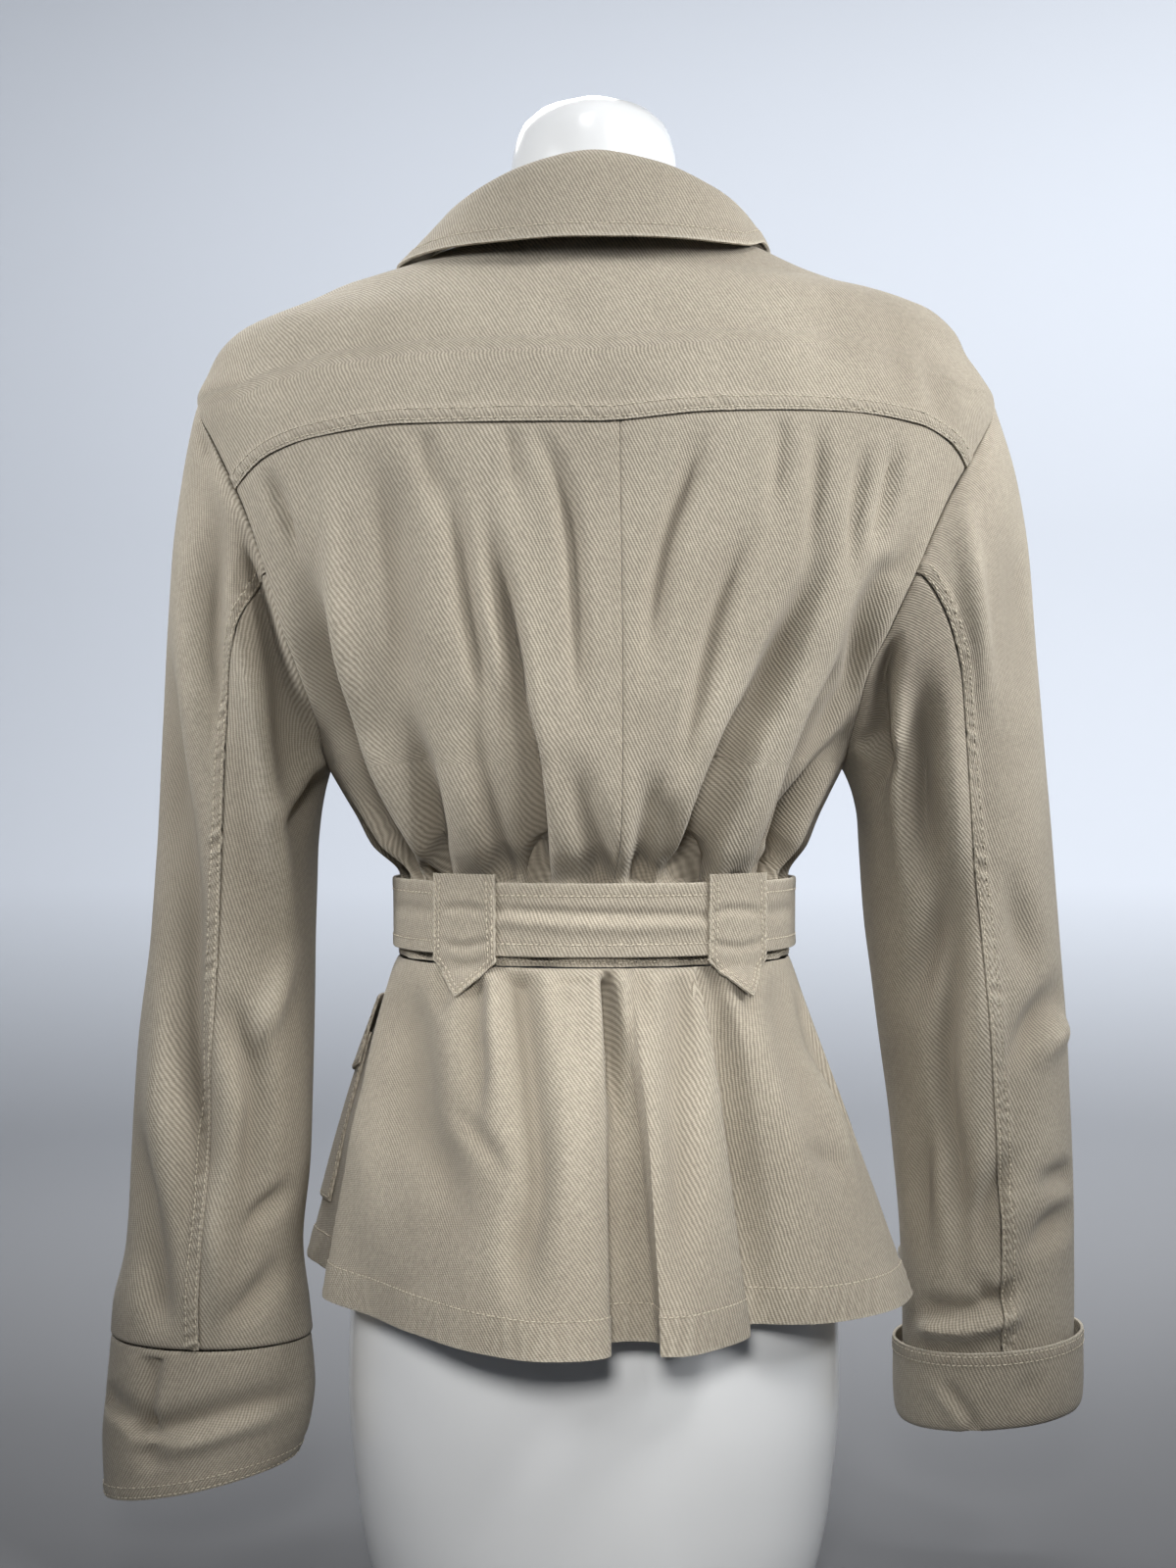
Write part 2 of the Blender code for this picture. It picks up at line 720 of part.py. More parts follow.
def build_sleeves():
    """Two-piece sleeves and their cuffs."""
    for side, sign in SLEEVE_SIDE.items():
        gap = math.degrees(2 * SEAM / 60.0)
        stations = [0, 0.5, 1, 1.6, 2.3, 3, 4, 5, 6, 7, 8, 9, 10, 11, SLEEVE_STATIONS]
        top = spread(SLEEVE_FRONT_SEAM - 360 + gap, SLEEVE_BACK_SEAM - gap, 13)
        under = spread(SLEEVE_BACK_SEAM + gap, SLEEVE_FRONT_SEAM - gap, 8)
        cloth(f"sleeve_top_{side}", sleeve(side), top, stations, flip=sign < 0)
        cloth(f"sleeve_under_{side}", sleeve(side), under, stations, flip=sign < 0)
    turns = spread(0, 360, 20)

    def hanging(turn, station):
        return tube_section(CUFF_LEFT, "left", turn, station)

    def turned_back(turn, station):
        return tube_section(CUFF_RIGHT, "right", turn, station)

    cloth("cuff_left", hanging, turns, spread(0, 3, 4), flip=True)
    cloth("cuff_right", turned_back, turns, spread(0, 6, 8), flip=True)


def build_collar():
    """The folded collar."""
    shares = [0.0, 0.22, 0.42, 0.50, 0.58, 0.72, 0.86, 1.0]
    cloth("collar", collar, spread(-COLLAR_END, COLLAR_END, 30), shares, flip=True)


def build_peplum():
    """The skirt part in a back and two fronts, with pockets and flaps on the fronts."""
    drops = [1.0, 0.82, 0.64, 0.46, 0.3, 0.17, 0.07, 0.0]
    gap = 0.035
    ends = {
        "peplum_front_left": (0.02, PEPLUM_LEFT_SEAM - gap, 14),
        "peplum_back": (PEPLUM_LEFT_SEAM + gap, PEPLUM_RIGHT_SEAM - gap, 52),
        "peplum_front_right": (PEPLUM_RIGHT_SEAM + gap, PEPLUM_END - 0.02, 14),
    }
    for name, (start, end, count) in ends.items():
        cloth(name, peplum, spread(start, end, count), drops)

    for side, (start, end) in POCKETS.items():

        def patch(u, v):
            return moved_out(peplum, lerp(start, end, u), v, CLOTH + LAY, (0.05, -0.02))

        def flap(u, v):
            low = lerp(FLAP_BOTTOM, FLAP_POINT, 1 - abs(2 * u - 1))
            station = lerp(start - 0.08, end + 0.08, u)
            return moved_out(peplum, station, lerp(low, FLAP_TOP, v), 2 * CLOTH + 2 * LAY, (0.05, -0.02))

        rows = spread(POCKET_BOTTOM, POCKET_TOP, 4)
        cloth(f"pocket_{side}", patch, spread(0, 1, 8), rows)
        cloth(f"pocket_flap_{side}", flap, spread(0, 1, 8), spread(0, 1, 3))


def build_belt():
    """The strap, its slide buckle and its pointed loops."""

    def strap(angle, height):
        return waist(angle, height, BELT_LIFT.read("lift", angle) + DOUBLE_CLOTH)

    angles = spread(BELT_START, 155, 50) + spread(155, 200, 18)[1:] + spread(200, BELT_END, 4)[1:]
    cloth("belt", strap, angles, [BELT_LOW, BELT_HIGH], wall=DOUBLE_CLOTH)

    mesh = bmesh.new()
    wide = BUCKLE_INNER_WIDTH / 2
    tall = BUCKLE_INNER_HEIGHT / 2
    middle = (BELT_LOW + BELT_HIGH) / 2
    frames = [
        (-wide - BUCKLE_BAR, wide + BUCKLE_BAR, tall + BUCKLE_BAR),
        (-wide, -BUCKLE_BAR / 2, tall),
        (BUCKLE_BAR / 2, wide, tall),
    ]
    edges = []
    for start, end, half in frames:
        corners = [(start, -half), (end, -half), (end, half), (start, half)]
        verts = [mesh.verts.new(Vector((x, BUCKLE_BACK, middle + z)) * MM) for x, z in corners]
        edges += [mesh.edges.new((verts[i], verts[(i + 1) % 4])) for i in range(4)]
    bmesh.ops.triangle_fill(mesh, use_beauty=True, use_dissolve=False, edges=edges, normal=(0, 1, 0))
    raised = bmesh.ops.extrude_face_region(mesh, geom=mesh.faces[:], use_keep_orig=True)
    verts = [item for item in raised["geom"] if isinstance(item, bmesh.types.BMVert)]
    bmesh.ops.translate(mesh, vec=(0, BUCKLE_DEEP * MM, 0), verts=verts)
    bmesh.ops.recalc_face_normals(mesh, faces=mesh.faces)
    place("belt_buckle", mesh, "buckle")

    for side, angle in LOOPS.items():
        half = math.degrees(LOOP_HALF_WIDTH / body_reach(angle, WAIST_RING))
        base = BELT_LIFT.read("lift", 0) + DOUBLE_CLOTH + LAY + CLOTH

        def tab(u, v):
            here = angle + half * u
            height = lerp(lerp(LOOP_TIP, LOOP_CORNER, abs(u)), LOOP_TOP, v)
            lift = base
            if height < WAIST_SEAM:
                under = peplum_reach(here, height) - body_reach(here, WAIST_RING)
                lift = max(base, under + LAY + CLOTH + LOOP_CLEAR)
            return waist(here, height, lift)

        cloth(f"belt_loop_{side}", tab, spread(-1, 1, 6), [0, 0.12, 0.24, 0.36, 0.6, 0.8, 1])


def build_front_closing():
    """The closing strip above and below the waist, with its buttons."""

    def strip(u, height):
        angle = 180 + math.degrees(u / body_reach(180, height))
        return moved_out(bodice, angle, height, CLOTH + 2 * LAY)

    across = spread(-PLACKET_HALF_WIDTH, PLACKET_HALF_WIDTH, 4)
    heights = [z for z in BODICE_LEVELS if PLACKET_LOW < z < PLACKET_HIGH]
    cloth("placket_bodice", strip, across, heights)

    def low_strip(u, drop):
        near = peplum(0.0, drop)
        angle = 180 + math.degrees(u / math.hypot(near.x, near.y))
        reach = math.hypot(near.x, near.y) + CLOTH + 4 * LAY
        return polar(angle, reach, near.z)

    cloth("placket_peplum", low_strip, across, spread(1.0, 0.06, 5))

    faces = [moved_out(bodice, 180, z, CLOTH + 4 * LAY) for z in BODICE_BUTTONS]
    outs = [moved_out(bodice, 180, z, CLOTH + 4 * LAY + 1) for z in BODICE_BUTTONS]
    for drop in PEPLUM_BUTTONS:
        faces.append(moved_out(low_strip, 0, drop, LAY + 0.2, (1.0, -0.02)))
        outs.append(moved_out(low_strip, 0, drop, LAY + 1.2, (1.0, -0.02)))
    for number, (seat, out) in enumerate(zip(faces, outs), start=1):
        mesh = bmesh.new()
        bmesh.ops.create_cone(
            mesh,
            cap_ends=True,
            segments=16,
            radius1=BUTTON_RADIUS * MM,
            radius2=BUTTON_RADIUS * BUTTON_TAPER * MM,
            depth=BUTTON_THICK * MM,
        )
        bmesh.ops.translate(mesh, vec=(0, 0, BUTTON_THICK / 2 * MM), verts=mesh.verts)
        turn = Vector((0, 0, 1)).rotation_difference(out - seat).to_matrix()
        bmesh.ops.rotate(mesh, cent=(0, 0, 0), matrix=turn, verts=mesh.verts)
        bmesh.ops.translate(mesh, vec=seat * MM, verts=mesh.verts)
        place(f"button_{number}", mesh, "button")


def build_form():
    """The smooth closed form that the jacket rests on."""
    mesh = bmesh.new()
    reaches = ("side", "back", "front")
    loops = []
    for height in FORM.keys:
        squareness = BODY.read("squareness", height) if height > 360 else 2.1
        ring = []
        for step in range(FORM_COLUMNS):
            angle = 360.0 * step / FORM_COLUMNS
            reach = ring_reach(angle, *(FORM.read(name, height) for name in reaches), squareness)
            ring.append(mesh.verts.new(polar(angle, reach, height) * MM))
        pairs = zip(ring, ring[1:] + ring[:1])
        loops.append([mesh.edges.new(pair) for pair in pairs])
    for low, high in zip(loops, loops[1:]):
        bmesh.ops.bridge_loops(mesh, edges=low + high)
    bmesh.ops.contextual_create(mesh, geom=loops[0])
    bmesh.ops.contextual_create(mesh, geom=loops[-1])
    bmesh.ops.recalc_face_normals(mesh, faces=mesh.faces)
    place("form", mesh, "form_white")


def main():
    """Build every piece."""
    for old in list(bpy.data.objects):
        bpy.data.objects.remove(old, do_unlink=True)
    build_form()
    build_bodice()
    build_sleeves()
    build_collar()
    build_peplum()
    build_belt()
    build_front_closing()


main()
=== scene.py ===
"""Dresses the belted utility jacket and its display form: cloth, creases, sewing, buttons, light and camera.

Sizes are in millimetres until a mesh is made, and angles in degrees. The back of the jacket faces -Y, +X is
the wearer's right and +Z is up. Angles go round from centre back (0) to the right side (90) and the left side
(-90); 180 is centre front. Every panel is a grid of points whose columns run to the right and whose rows run
up, as seen from outside the cloth. Creases are placed on the grid of the back view, 1200 wide and 1600 high.
"""
from __future__ import annotations

import logging
import math
from dataclasses import dataclass, field
from enum import Enum
from typing import Callable, Sequence

import bmesh
import bpy
import numpy as np
from mathutils import Matrix, Vector

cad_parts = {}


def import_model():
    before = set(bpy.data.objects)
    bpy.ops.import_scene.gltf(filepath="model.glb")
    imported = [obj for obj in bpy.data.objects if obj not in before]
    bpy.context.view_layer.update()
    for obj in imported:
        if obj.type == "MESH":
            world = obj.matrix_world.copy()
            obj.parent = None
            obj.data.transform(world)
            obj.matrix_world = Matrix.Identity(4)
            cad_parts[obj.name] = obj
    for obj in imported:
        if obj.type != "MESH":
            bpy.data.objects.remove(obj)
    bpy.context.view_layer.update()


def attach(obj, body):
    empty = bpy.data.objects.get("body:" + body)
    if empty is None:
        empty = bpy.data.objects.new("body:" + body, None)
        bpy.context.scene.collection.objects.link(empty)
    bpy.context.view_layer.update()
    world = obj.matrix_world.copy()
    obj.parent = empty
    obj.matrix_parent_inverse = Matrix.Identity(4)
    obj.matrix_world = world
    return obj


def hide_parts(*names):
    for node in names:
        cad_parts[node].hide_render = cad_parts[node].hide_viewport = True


LOG = logging.getLogger("jacket")
MM = 0.001
Array = np.ndarray
Surface = Callable[[Array, Array], Array]
Socket = bpy.types.NodeSocket
Colour = tuple[float, float, float]
Place = tuple[float, float, float]
Span = tuple[float, float]
Piece = bpy.types.Object
Material = bpy.types.Material
Tree = bpy.types.NodeTree
Node = bpy.types.Node

# Cloth and seams
CLOTH = 1.6
DOUBLE_CLOTH = 2.4
SEAM = 0.35
LAY = 0.5

# Heights and angles of the seams
HEM = 177.0
WAIST_SEAM = 362.0
BELT_LOW = 367.4
BELT_HIGH = 406.8
UNDERARM = 469.8
SHOULDER_TIP = 677.2
NECK_PIT = 700.0
NECK_LEFT = 757.0
NECK_RIGHT = 761.0
CENTRE_BACK = 6.5
SIDE_SEAM = 90.0
SHOULDER_SEAM_AT_NECK = 96.0
ARMHOLE_BACK_REACH = 23.0
ARMHOLE_FRONT_REACH = 22.0
ARMHOLE_SKEW = 0.35
ARMHOLE_GAP = -1.2
NECK_GAP_ANGLE = 8.0
WAIST_RING = 387.0
YOKE_LEFT_CORNER = 620.0
YOKE_RIGHT_CORNER = 632.0

# The back view: where it is seen from, and the scale of its grid
EYE = (-3.4, -1200.0, 459.0)
VIEW_FOCUS = 2136.0
VIEW_MIDDLE = (600.0, 800.0)
VIEW_LONG_SIDE = 1600.0
SENSOR = 36.0
HIDDEN_SHARE = 0.6
HIDDEN_DROP = 37.0


class Side(Enum):
    """The wearer's left or right."""

    LEFT = "left"
    RIGHT = "right"

    @property
    def sign(self) -> int:
        """-1 on the left and 1 on the right."""
        return 1 if self is Side.RIGHT else -1


class Edge(Enum):
    """An edge of a panel as seen from outside."""

    LEFT = "left"
    RIGHT = "right"
    BOTTOM = "bottom"
    TOP = "top"


class Hold(Enum):
    """How a sheet of cloth is held."""

    HUNG = "hung"
    GATHERED = "gathered"
    FOLDED = "folded"
    LAID = "laid"


class Table:
    """A short table read along its first column, with a smooth curve through each other column."""

    def __init__(self, columns: Sequence[str], rows: Sequence[Sequence[float]]) -> None:
        """Keeps the columns by name.

        Args:
            columns: Names of the columns, the key first.
            rows: One row of numbers for each key.
        """
        data = np.array(rows, float)
        self.keys = data[:, 0]
        self.curves = {name: (data[:, k], self._slopes(data[:, k])) for k, name in enumerate(columns) if k}

    def _slopes(self, values: Array) -> Array:
        """Slopes at the keys that never overshoot the values.

        Args:
            values: The values at the keys.

        Returns:
            One slope for each key.
        """
        steps = np.diff(values) / np.diff(self.keys)
        both = steps[:-1] * steps[1:]
        total = steps[:-1] + steps[1:]
        inner = np.where(both > 0, 2 * both / np.where(total == 0, 1.0, total), 0.0)
        return np.concatenate([steps[:1], inner, steps[-1:]])

    def read(self, name: str, at: Array | float) -> Array:
        """The values of one column at some keys, held at the end values outside the table.

        Args:
            name: The column.
            at: The keys to read at.

        Returns:
            One value for each key.
        """
        at = np.clip(np.asarray(at, float), self.keys[0], self.keys[-1])
        i = np.clip(np.searchsorted(self.keys, at, side="left") - 1, 0, len(self.keys) - 2)
        values, slopes = self.curves[name]
        width = self.keys[i + 1] - self.keys[i]
        t = (at - self.keys[i]) / width
        rise = values[i + 1] - values[i]
        start = slopes[i] * width - rise
        end = rise - slopes[i + 1] * width
        return values[i] + t * rise + t * (1 - t) * ((1 - t) * start + t * end)


# Rings of the body of the jacket: half widths to each side, depth to the back and to the front
BODY = Table(
    ("height", "left", "right", "back", "front", "squareness"),
    [
        (360, 111, 111, 96, 90.5, 2.1), (407, 111, 111, 96, 90.5, 2.1), (425, 127, 122, 114, 103, 2.15),
        (440, 135, 128, 121, 112, 2.2), (455, 144, 135, 125, 118, 2.2), (470, 152, 142, 127, 122, 2.2),
        (484, 157, 147, 128, 125, 2.25), (500, 167, 155, 128, 127, 2.3), (520, 182, 166, 127, 128, 2.35),
        (545, 198, 185, 125, 128, 2.4), (577, 209, 204, 122, 125, 2.4), (620, 216, 217, 117.5, 116, 2.4),
        (650, 223, 226, 114.5, 107, 2.3), (665, 226, 229, 112, 102, 2.2), (677, 226, 228, 109.5, 98, 2.1),
        (690, 221, 221.5, 106, 93, 2.0), (703, 215, 213, 101, 87, 1.95), (714, 205, 208, 96, 82, 1.9),
        (722, 190, 201, 92, 78, 1.85), (729, 172, 192, 88, 75, 1.8), (736, 157, 172, 84, 72, 1.75),
        (741, 147, 150, 81, 70, 1.7), (748, 122, 131, 77, 67, 1.7), (754, 103, 116, 73, 65, 1.75),
        (760, 90, 102, 69, 62, 1.8), (765, 84, 92, 66, 60, 1.8),
    ],
)

# Seam between the yoke and the backs
YOKE_SEAM = Table(
    ("angle", "height"),
    [
        (-72.4, 620), (-65, 636), (-58, 643), (-43, 648), (0, 648), (30, 654), (54, 656), (65, 652),
        (70, 645), (74.7, 632),
    ],
)

# Long soft folds that rise from the belt: angle, lean in degrees per 100 mm, spread, depth, height of the top
BODICE_FOLDS = (
    (-148, 2, 7.5, 5.5, 560), (-124, 1, 7.5, 6.0, 540), (-102, 0, 6.5, 5.0, 480), (-77, 0, 6.0, 5.0, 480),
    (-60, 1, 6.5, 7.5, 615), (-40, -3, 6.0, 5.0, 530), (-17, -5, 6.0, 7.5, 590), (16, 2, 6.0, 4.0, 540),
    (32, 7, 6.5, 8.0, 580), (46, 4, 5.5, 4.0, 500), (59, 0, 6.0, 6.5, 640), (77, 0, 6.0, 5.0, 480),
    (103, 0, 6.5, 5.0, 480), (126, -1, 7.5, 6.0, 550), (146, -2, 7.5, 5.5, 540),
)
FOLD_BEHIND_BELT = 0.55

SLEEVE_COLUMNS = ("station", "outer_x", "outer_z", "inner_x", "inner_z", "middle", "depth", "armhole")
SLEEVES = {
    Side.LEFT: Table(
        SLEEVE_COLUMNS,
        [
            (0, 226.5, 677, 152.5, 469, 0, 77, 1.0), (1, 231.0, 655, 154.5, 458, 0, 76, 0.5),
            (2, 235.5, 625, 156.5, 446, 0, 74, 0.15), (3, 239.0, 592, 157.5, 434, 0, 71, 0.0),
            (4, 242.0, 550, 158.5, 421, 0, 68, 0.0), (5, 245.0, 500, 159.0, 404, 1, 65, 0.0),
            (6, 248.0, 440, 160.0, 375, 3, 62, 0.0), (7, 253.0, 378, 161.0, 340, 5, 60, 0.0),
            (8, 261.0, 313, 162.0, 296, 6, 57, 0.0), (9, 265.0, 250, 163.5, 244, 6, 53, 0.0),
            (10, 268.5, 197, 168.0, 196, 6, 49, 0.0), (11, 276.0, 163, 164.0, 162, 6, 46, 0.0),
            (12, 277.5, 145, 162.0, 144, 6, 44, 0.0),
        ],
    ),
    Side.RIGHT: Table(
        SLEEVE_COLUMNS,
        [
            (0, 229.0, 676, 144.0, 470, 0, 77, 1.0), (1, 235.0, 655, 147.5, 460, 1, 76, 0.5),
            (2, 242.0, 630, 150.5, 449, 2, 74, 0.15), (3, 247.5, 596, 152.0, 438, 4, 71, 0.0),
            (4, 252.0, 545, 153.0, 424, 6, 68, 0.0), (5, 257.0, 495, 154.5, 405, 9, 65, 0.0),
            (6, 263.0, 438, 157.0, 380, 13, 62, 0.0), (7, 269.0, 376, 162.0, 345, 18, 60, 0.0),
            (8, 275.0, 312, 169.0, 298, 24, 57, 0.0), (9, 279.0, 252, 175.5, 248, 28, 53, 0.0),
            (10, 281.0, 200, 180.0, 198, 30, 49, 0.0), (11, 281.0, 160, 182.0, 156, 30, 46, 0.0),
            (12, 281.0, 136, 182.0, 130, 30, 44, 0.0),
        ],
    ),
}

CUFF_COLUMNS = ("station", "outer_x", "outer_z", "inner_x", "inner_z", "middle", "depth")
CUFF_LEFT = Table(
    CUFF_COLUMNS,
    [
        (0, 277.0, 143.8, 163.0, 143.0, 6, 43), (1, 280.0, 112, 161.0, 116, 6, 41),
        (2, 282.5, 84, 164.0, 92, 6, 40), (3, 281.0, 52, 171.0, 74, 6, 38),
    ],
)
CUFF_RIGHT = Table(
    CUFF_COLUMNS,
    [
        (0, 280.3, 134.6, 182.7, 128.6, 30, 43), (1, 279.8, 118, 183.0, 112, 30, 42.5),
        (2, 280.5, 102, 182.5, 92, 30, 43), (3, 283.5, 98.5, 180.0, 88, 30, 46),
        (4, 286.0, 104, 177.0, 94, 30, 49), (5, 286.5, 120, 176.0, 111, 30, 50),
        (6, 286.0, 143, 176.5, 134, 30, 50),
    ],
)

COLLAR = Table(
    ("angle", "fold_out", "fold_height", "edge_out", "edge_height"),
    [
        (-166, 93, 716, 113, 664), (-135, 92, 741, 121, 712), (-108, 90, 761, 121, 748),
        (-90, 89, 771, 113, 755), (-76, 87, 776, 110, 752), (-54, 82, 784, 104, 750),
        (-30, 76, 794, 97, 749), (0, 73, 800, 93, 749), (30, 76, 795, 97, 750), (54, 83, 786, 101, 753),
        (76, 88, 778, 99, 763), (90, 92, 772, 101, 765), (108, 92, 763, 110, 757), (135, 92, 742, 121, 714),
        (166, 93, 716, 113, 664),
    ],
)

PEPLUM = Table(
    ("station", "waist_angle", "hem_angle", "hem_out", "flare"),
    [
        (0, -180, -180, 140, 0.8), (1, -165, -166, 143, 0.8), (2, -148, -148, 152, 0.8),
        (3, -128, -128, 174, 0.75), (4, -110, -111, 182, 0.7), (5, -100, -99, 162, 0.7),
        (6, -92, -89, 147, 0.7), (7, -84, -80, 149, 0.7), (8, -74, -71, 157, 0.7), (9, -56, -53, 149, 0.7),
        (10, -38, -36, 157, 0.7), (11, -24, -20, 173, 0.75), (12, -11, -9, 181, 0.8),
        (13, -2, -1, 177, 0.8), (14, 2.5, 2.6, 168, 0.85), (15, 4, 1.2, 157, 0.9), (16, 5.5, 1.5, 146, 0.9),
        (17, 7.5, 6.5, 142, 0.9), (18, 9.5, 12.5, 147, 0.9), (19, 11, 12.6, 160, 0.9),
        (20, 12.5, 11.0, 173, 0.85), (21, 17, 15, 175, 0.85), (22, 24, 22, 167, 0.75),
        (23, 28.5, 28, 159, 0.65), (24, 31, 31, 153, 0.65), (25, 32.5, 29.8, 142, 1.0),
        (26, 34, 31.5, 133, 1.7), (27, 37, 37.5, 135, 1.7), (28, 41, 43, 148, 0.65), (29, 46, 48, 159, 0.6),
        (30, 56, 57, 171, 0.75), (31, 67, 68, 180, 0.95), (32, 75, 76, 181, 0.95), (33, 83, 83, 167, 0.9),
        (34, 91, 90, 157, 0.9), (35, 100, 98, 158, 0.85), (36, 111, 110, 168, 0.85),
        (37, 128, 127, 168, 0.85), (38, 148, 147, 152, 0.8), (39, 165, 166, 143, 0.8),
        (40, 180, 180, 140, 0.8),
    ],
)
PEPLUM_END = 40.0

BELT_LIFT = Table(
    ("angle", "lift"),
    [
        (-178, 1.0), (160, 1.0), (167, 1.1), (172, 3.2), (177, 7.6), (180, 8.1), (183, 7.7), (188, 4.9),
        (193, 4.0), (222, 4.0),
    ],
)

FORM = Table(
    ("height", "side", "back", "front"),
    [
        (0, 117, 93, 87), (8, 124, 99, 93), (60, 135, 107, 99), (120, 140, 111, 101), (177, 138, 110, 99),
        (240, 126, 101, 93), (300, 108, 88, 84), (350, 96, 81, 76), (387, 93, 78, 74), (430, 99, 84, 83),
        (470, 110, 93, 97), (520, 121, 101, 107), (570, 130, 104, 106), (620, 146, 102, 96),
        (655, 168, 98, 85), (677, 182, 94, 78), (692, 182, 90, 73), (704, 175, 86, 69), (714, 166, 82, 66),
        (722, 153, 78, 63), (729, 139, 75, 61), (736, 124, 71, 58), (741, 112, 68, 56), (748, 92, 63, 53),
        (757, 70, 57, 49), (770, 56, 52, 46), (790, 49, 48, 44), (815, 47, 46, 43), (833, 42, 42, 40),
        (844, 30, 30, 29), (849, 14, 14, 14),
    ],
)


def lerp(start: Array | float, end: Array | float, share: Array | float) -> Array | float:
    """The value a share of the way from start to end."""
    return start + (end - start) * share


def smooth(share: Array | float) -> Array:
    """A soft step from 0 to 1."""
    share = np.clip(share, 0.0, 1.0)
    return share * share * (3 - 2 * share)


def wrapped(angle: Array | float) -> Array | float:
    """The same angle between -180 and 180."""
    return (np.asarray(angle) + 180.0) % 360.0 - 180.0


def unit(vectors: Array) -> Array:
    """Vectors made one long."""
    size = np.linalg.norm(vectors, axis=-1, keepdims=True)
    return vectors / np.where(size < 1e-9, 1.0, size)


def run_of(points: Array) -> Array:
    """Distance of each point of a line from its start."""
    return np.concatenate([[0], np.cumsum(np.linalg.norm(np.diff(points, axis=0), axis=1))])


def polar(angle: Array, reach: Array, height: Array) -> Array:
    """Points at an angle and reach from the upright axis.

    Args:
        angle: Angles round the axis.
        reach: Distances from the axis.
        height: Heights.

    Returns:
        The points.
    """
    turn = np.radians(angle)
    turn, reach, height = np.broadcast_arrays(turn, reach, height)
    return np.stack([reach * np.sin(turn), -reach * np.cos(turn), height], axis=-1)


def ring_reach(angle: Array, side: Array, back: Array, front: Array, squareness: Array) -> Array:
    """How far a ring stands from its middle in some directions.

    Args:
        angle: Angles round the axis.
        side: Half the width.
        back: Depth to the back.
        front: Depth to the front.
        squareness: Power of the ring's curve; 2 is an ellipse.

    Returns:
        Distances from the middle.
    """
    turn = np.radians(angle)
    across = np.abs(np.sin(turn)) / side
    along = np.cos(turn)
    deep = np.abs(along) / np.where(along > 0, back, front)
    return (across**squareness + deep**squareness) ** (-1 / squareness)


def body_reach(angle: Array, height: Array) -> Array:
    """How far the smooth body of the jacket stands from the axis.

    Args:
        angle: Angles round the axis.
        height: Heights.

    Returns:
        Distances from the axis.
    """
    side = np.where(wrapped(angle) > 0, BODY.read("right", height), BODY.read("left", height))
    back, front, square = (BODY.read(name, height) for name in ("back", "front", "squareness"))
    return ring_reach(angle, side, back, front, square)


def fold_depth(angle: Array, height: Array) -> Array:
    """How deep the long folds lie at places on the bodice.

    Args:
        angle: Angles round the axis.
        height: Heights.

    Returns:
        Depths in millimetres.
    """
    rise = np.asarray(height, float) - BELT_HIGH
    total = np.zeros(np.broadcast(angle, rise).shape)
    for middle, lean, wide, depth, top in BODICE_FOLDS:
        off = wrapped(angle - middle - lean * np.maximum(rise, 0.0) / 100.0) / wide
        above = 1 - smooth(rise / (top - BELT_HIGH))
        below = lerp(1, FOLD_BEHIND_BELT, smooth(-rise / 12))
        total += depth * np.where(rise > 0, above, below) * np.exp(-off * off)
    return total


def body(angle: Array, height: Array) -> Array:
    """Points of the smooth body of the jacket."""
    return polar(angle, body_reach(angle, height), height)


def bodice(angle: Array, height: Array) -> Array:
    """Points of the folded bodice."""
    return polar(angle, body_reach(angle, height) - fold_depth(angle, height), height)


def moved_out(surface: Surface, u: Array, v: Array, lift: float, steps: Span) -> Array:
    """Points of a surface moved out square to it.

    Args:
        surface: The surface that carries the points.
        u: Places across it.
        v: Places up it.
        lift: How far the points move out.
        steps: Small steps across and up that give the surface's slope.

    Returns:
        The moved points.
    """
    along = surface(u + steps[0], v) - surface(u - steps[0], v)
    up = surface(u, v + steps[1]) - surface(u, v - steps[1])
    return surface(u, v) + unit(np.cross(along, up)) * lift


def armhole_edge(height: Array, reach: float, front: bool) -> Array:
    """Angle of the side seam, armhole or shoulder seam at a height, from centre back on either side.

    Args:
        height: Heights.
        reach: How far the armhole bulges, in degrees.
        front: Whether it is the front's edge.

    Returns:
        Angles of the edge.
    """
    height = np.asarray(height, float)
    middle = (UNDERARM + SHOULDER_TIP) / 2
    cosine = np.clip((height - middle) / ((SHOULDER_TIP - UNDERARM) / 2), -1, 1)
    bulge = reach * np.sqrt(1 - cosine * cosine) * (1 - ARMHOLE_SKEW * cosine)
    curve = SIDE_SEAM + bulge if front else SIDE_SEAM - bulge
    shoulder = lerp(SIDE_SEAM, SHOULDER_SEAM_AT_NECK, (height - SHOULDER_TIP) / (NECK_LEFT - SHOULDER_TIP))
    return np.where(height <= UNDERARM, SIDE_SEAM, np.where(height >= SHOULDER_TIP, shoulder, curve))


def seam_angle(angle: float, height: Array) -> Array:
    """The angle that the seam allowance takes up at a place on the body."""
    return np.degrees(SEAM / body_reach(np.asarray(angle, float), height))


def neck_height(angle: Array) -> Array:
    """Height of the neck seam.

    Args:
        angle: Angles round the axis.

    Returns:
        Heights of the seam.
    """
    turn = np.abs(angle)
    rim = lerp(NECK_LEFT, NECK_RIGHT, 0.5 + 0.5 * np.sin(np.radians(angle)))
    share = np.maximum(turn - SHOULDER_SEAM_AT_NECK, 0.0) / (180 - SHOULDER_SEAM_AT_NECK)
    return rim - (rim - NECK_PIT) * share**1.5


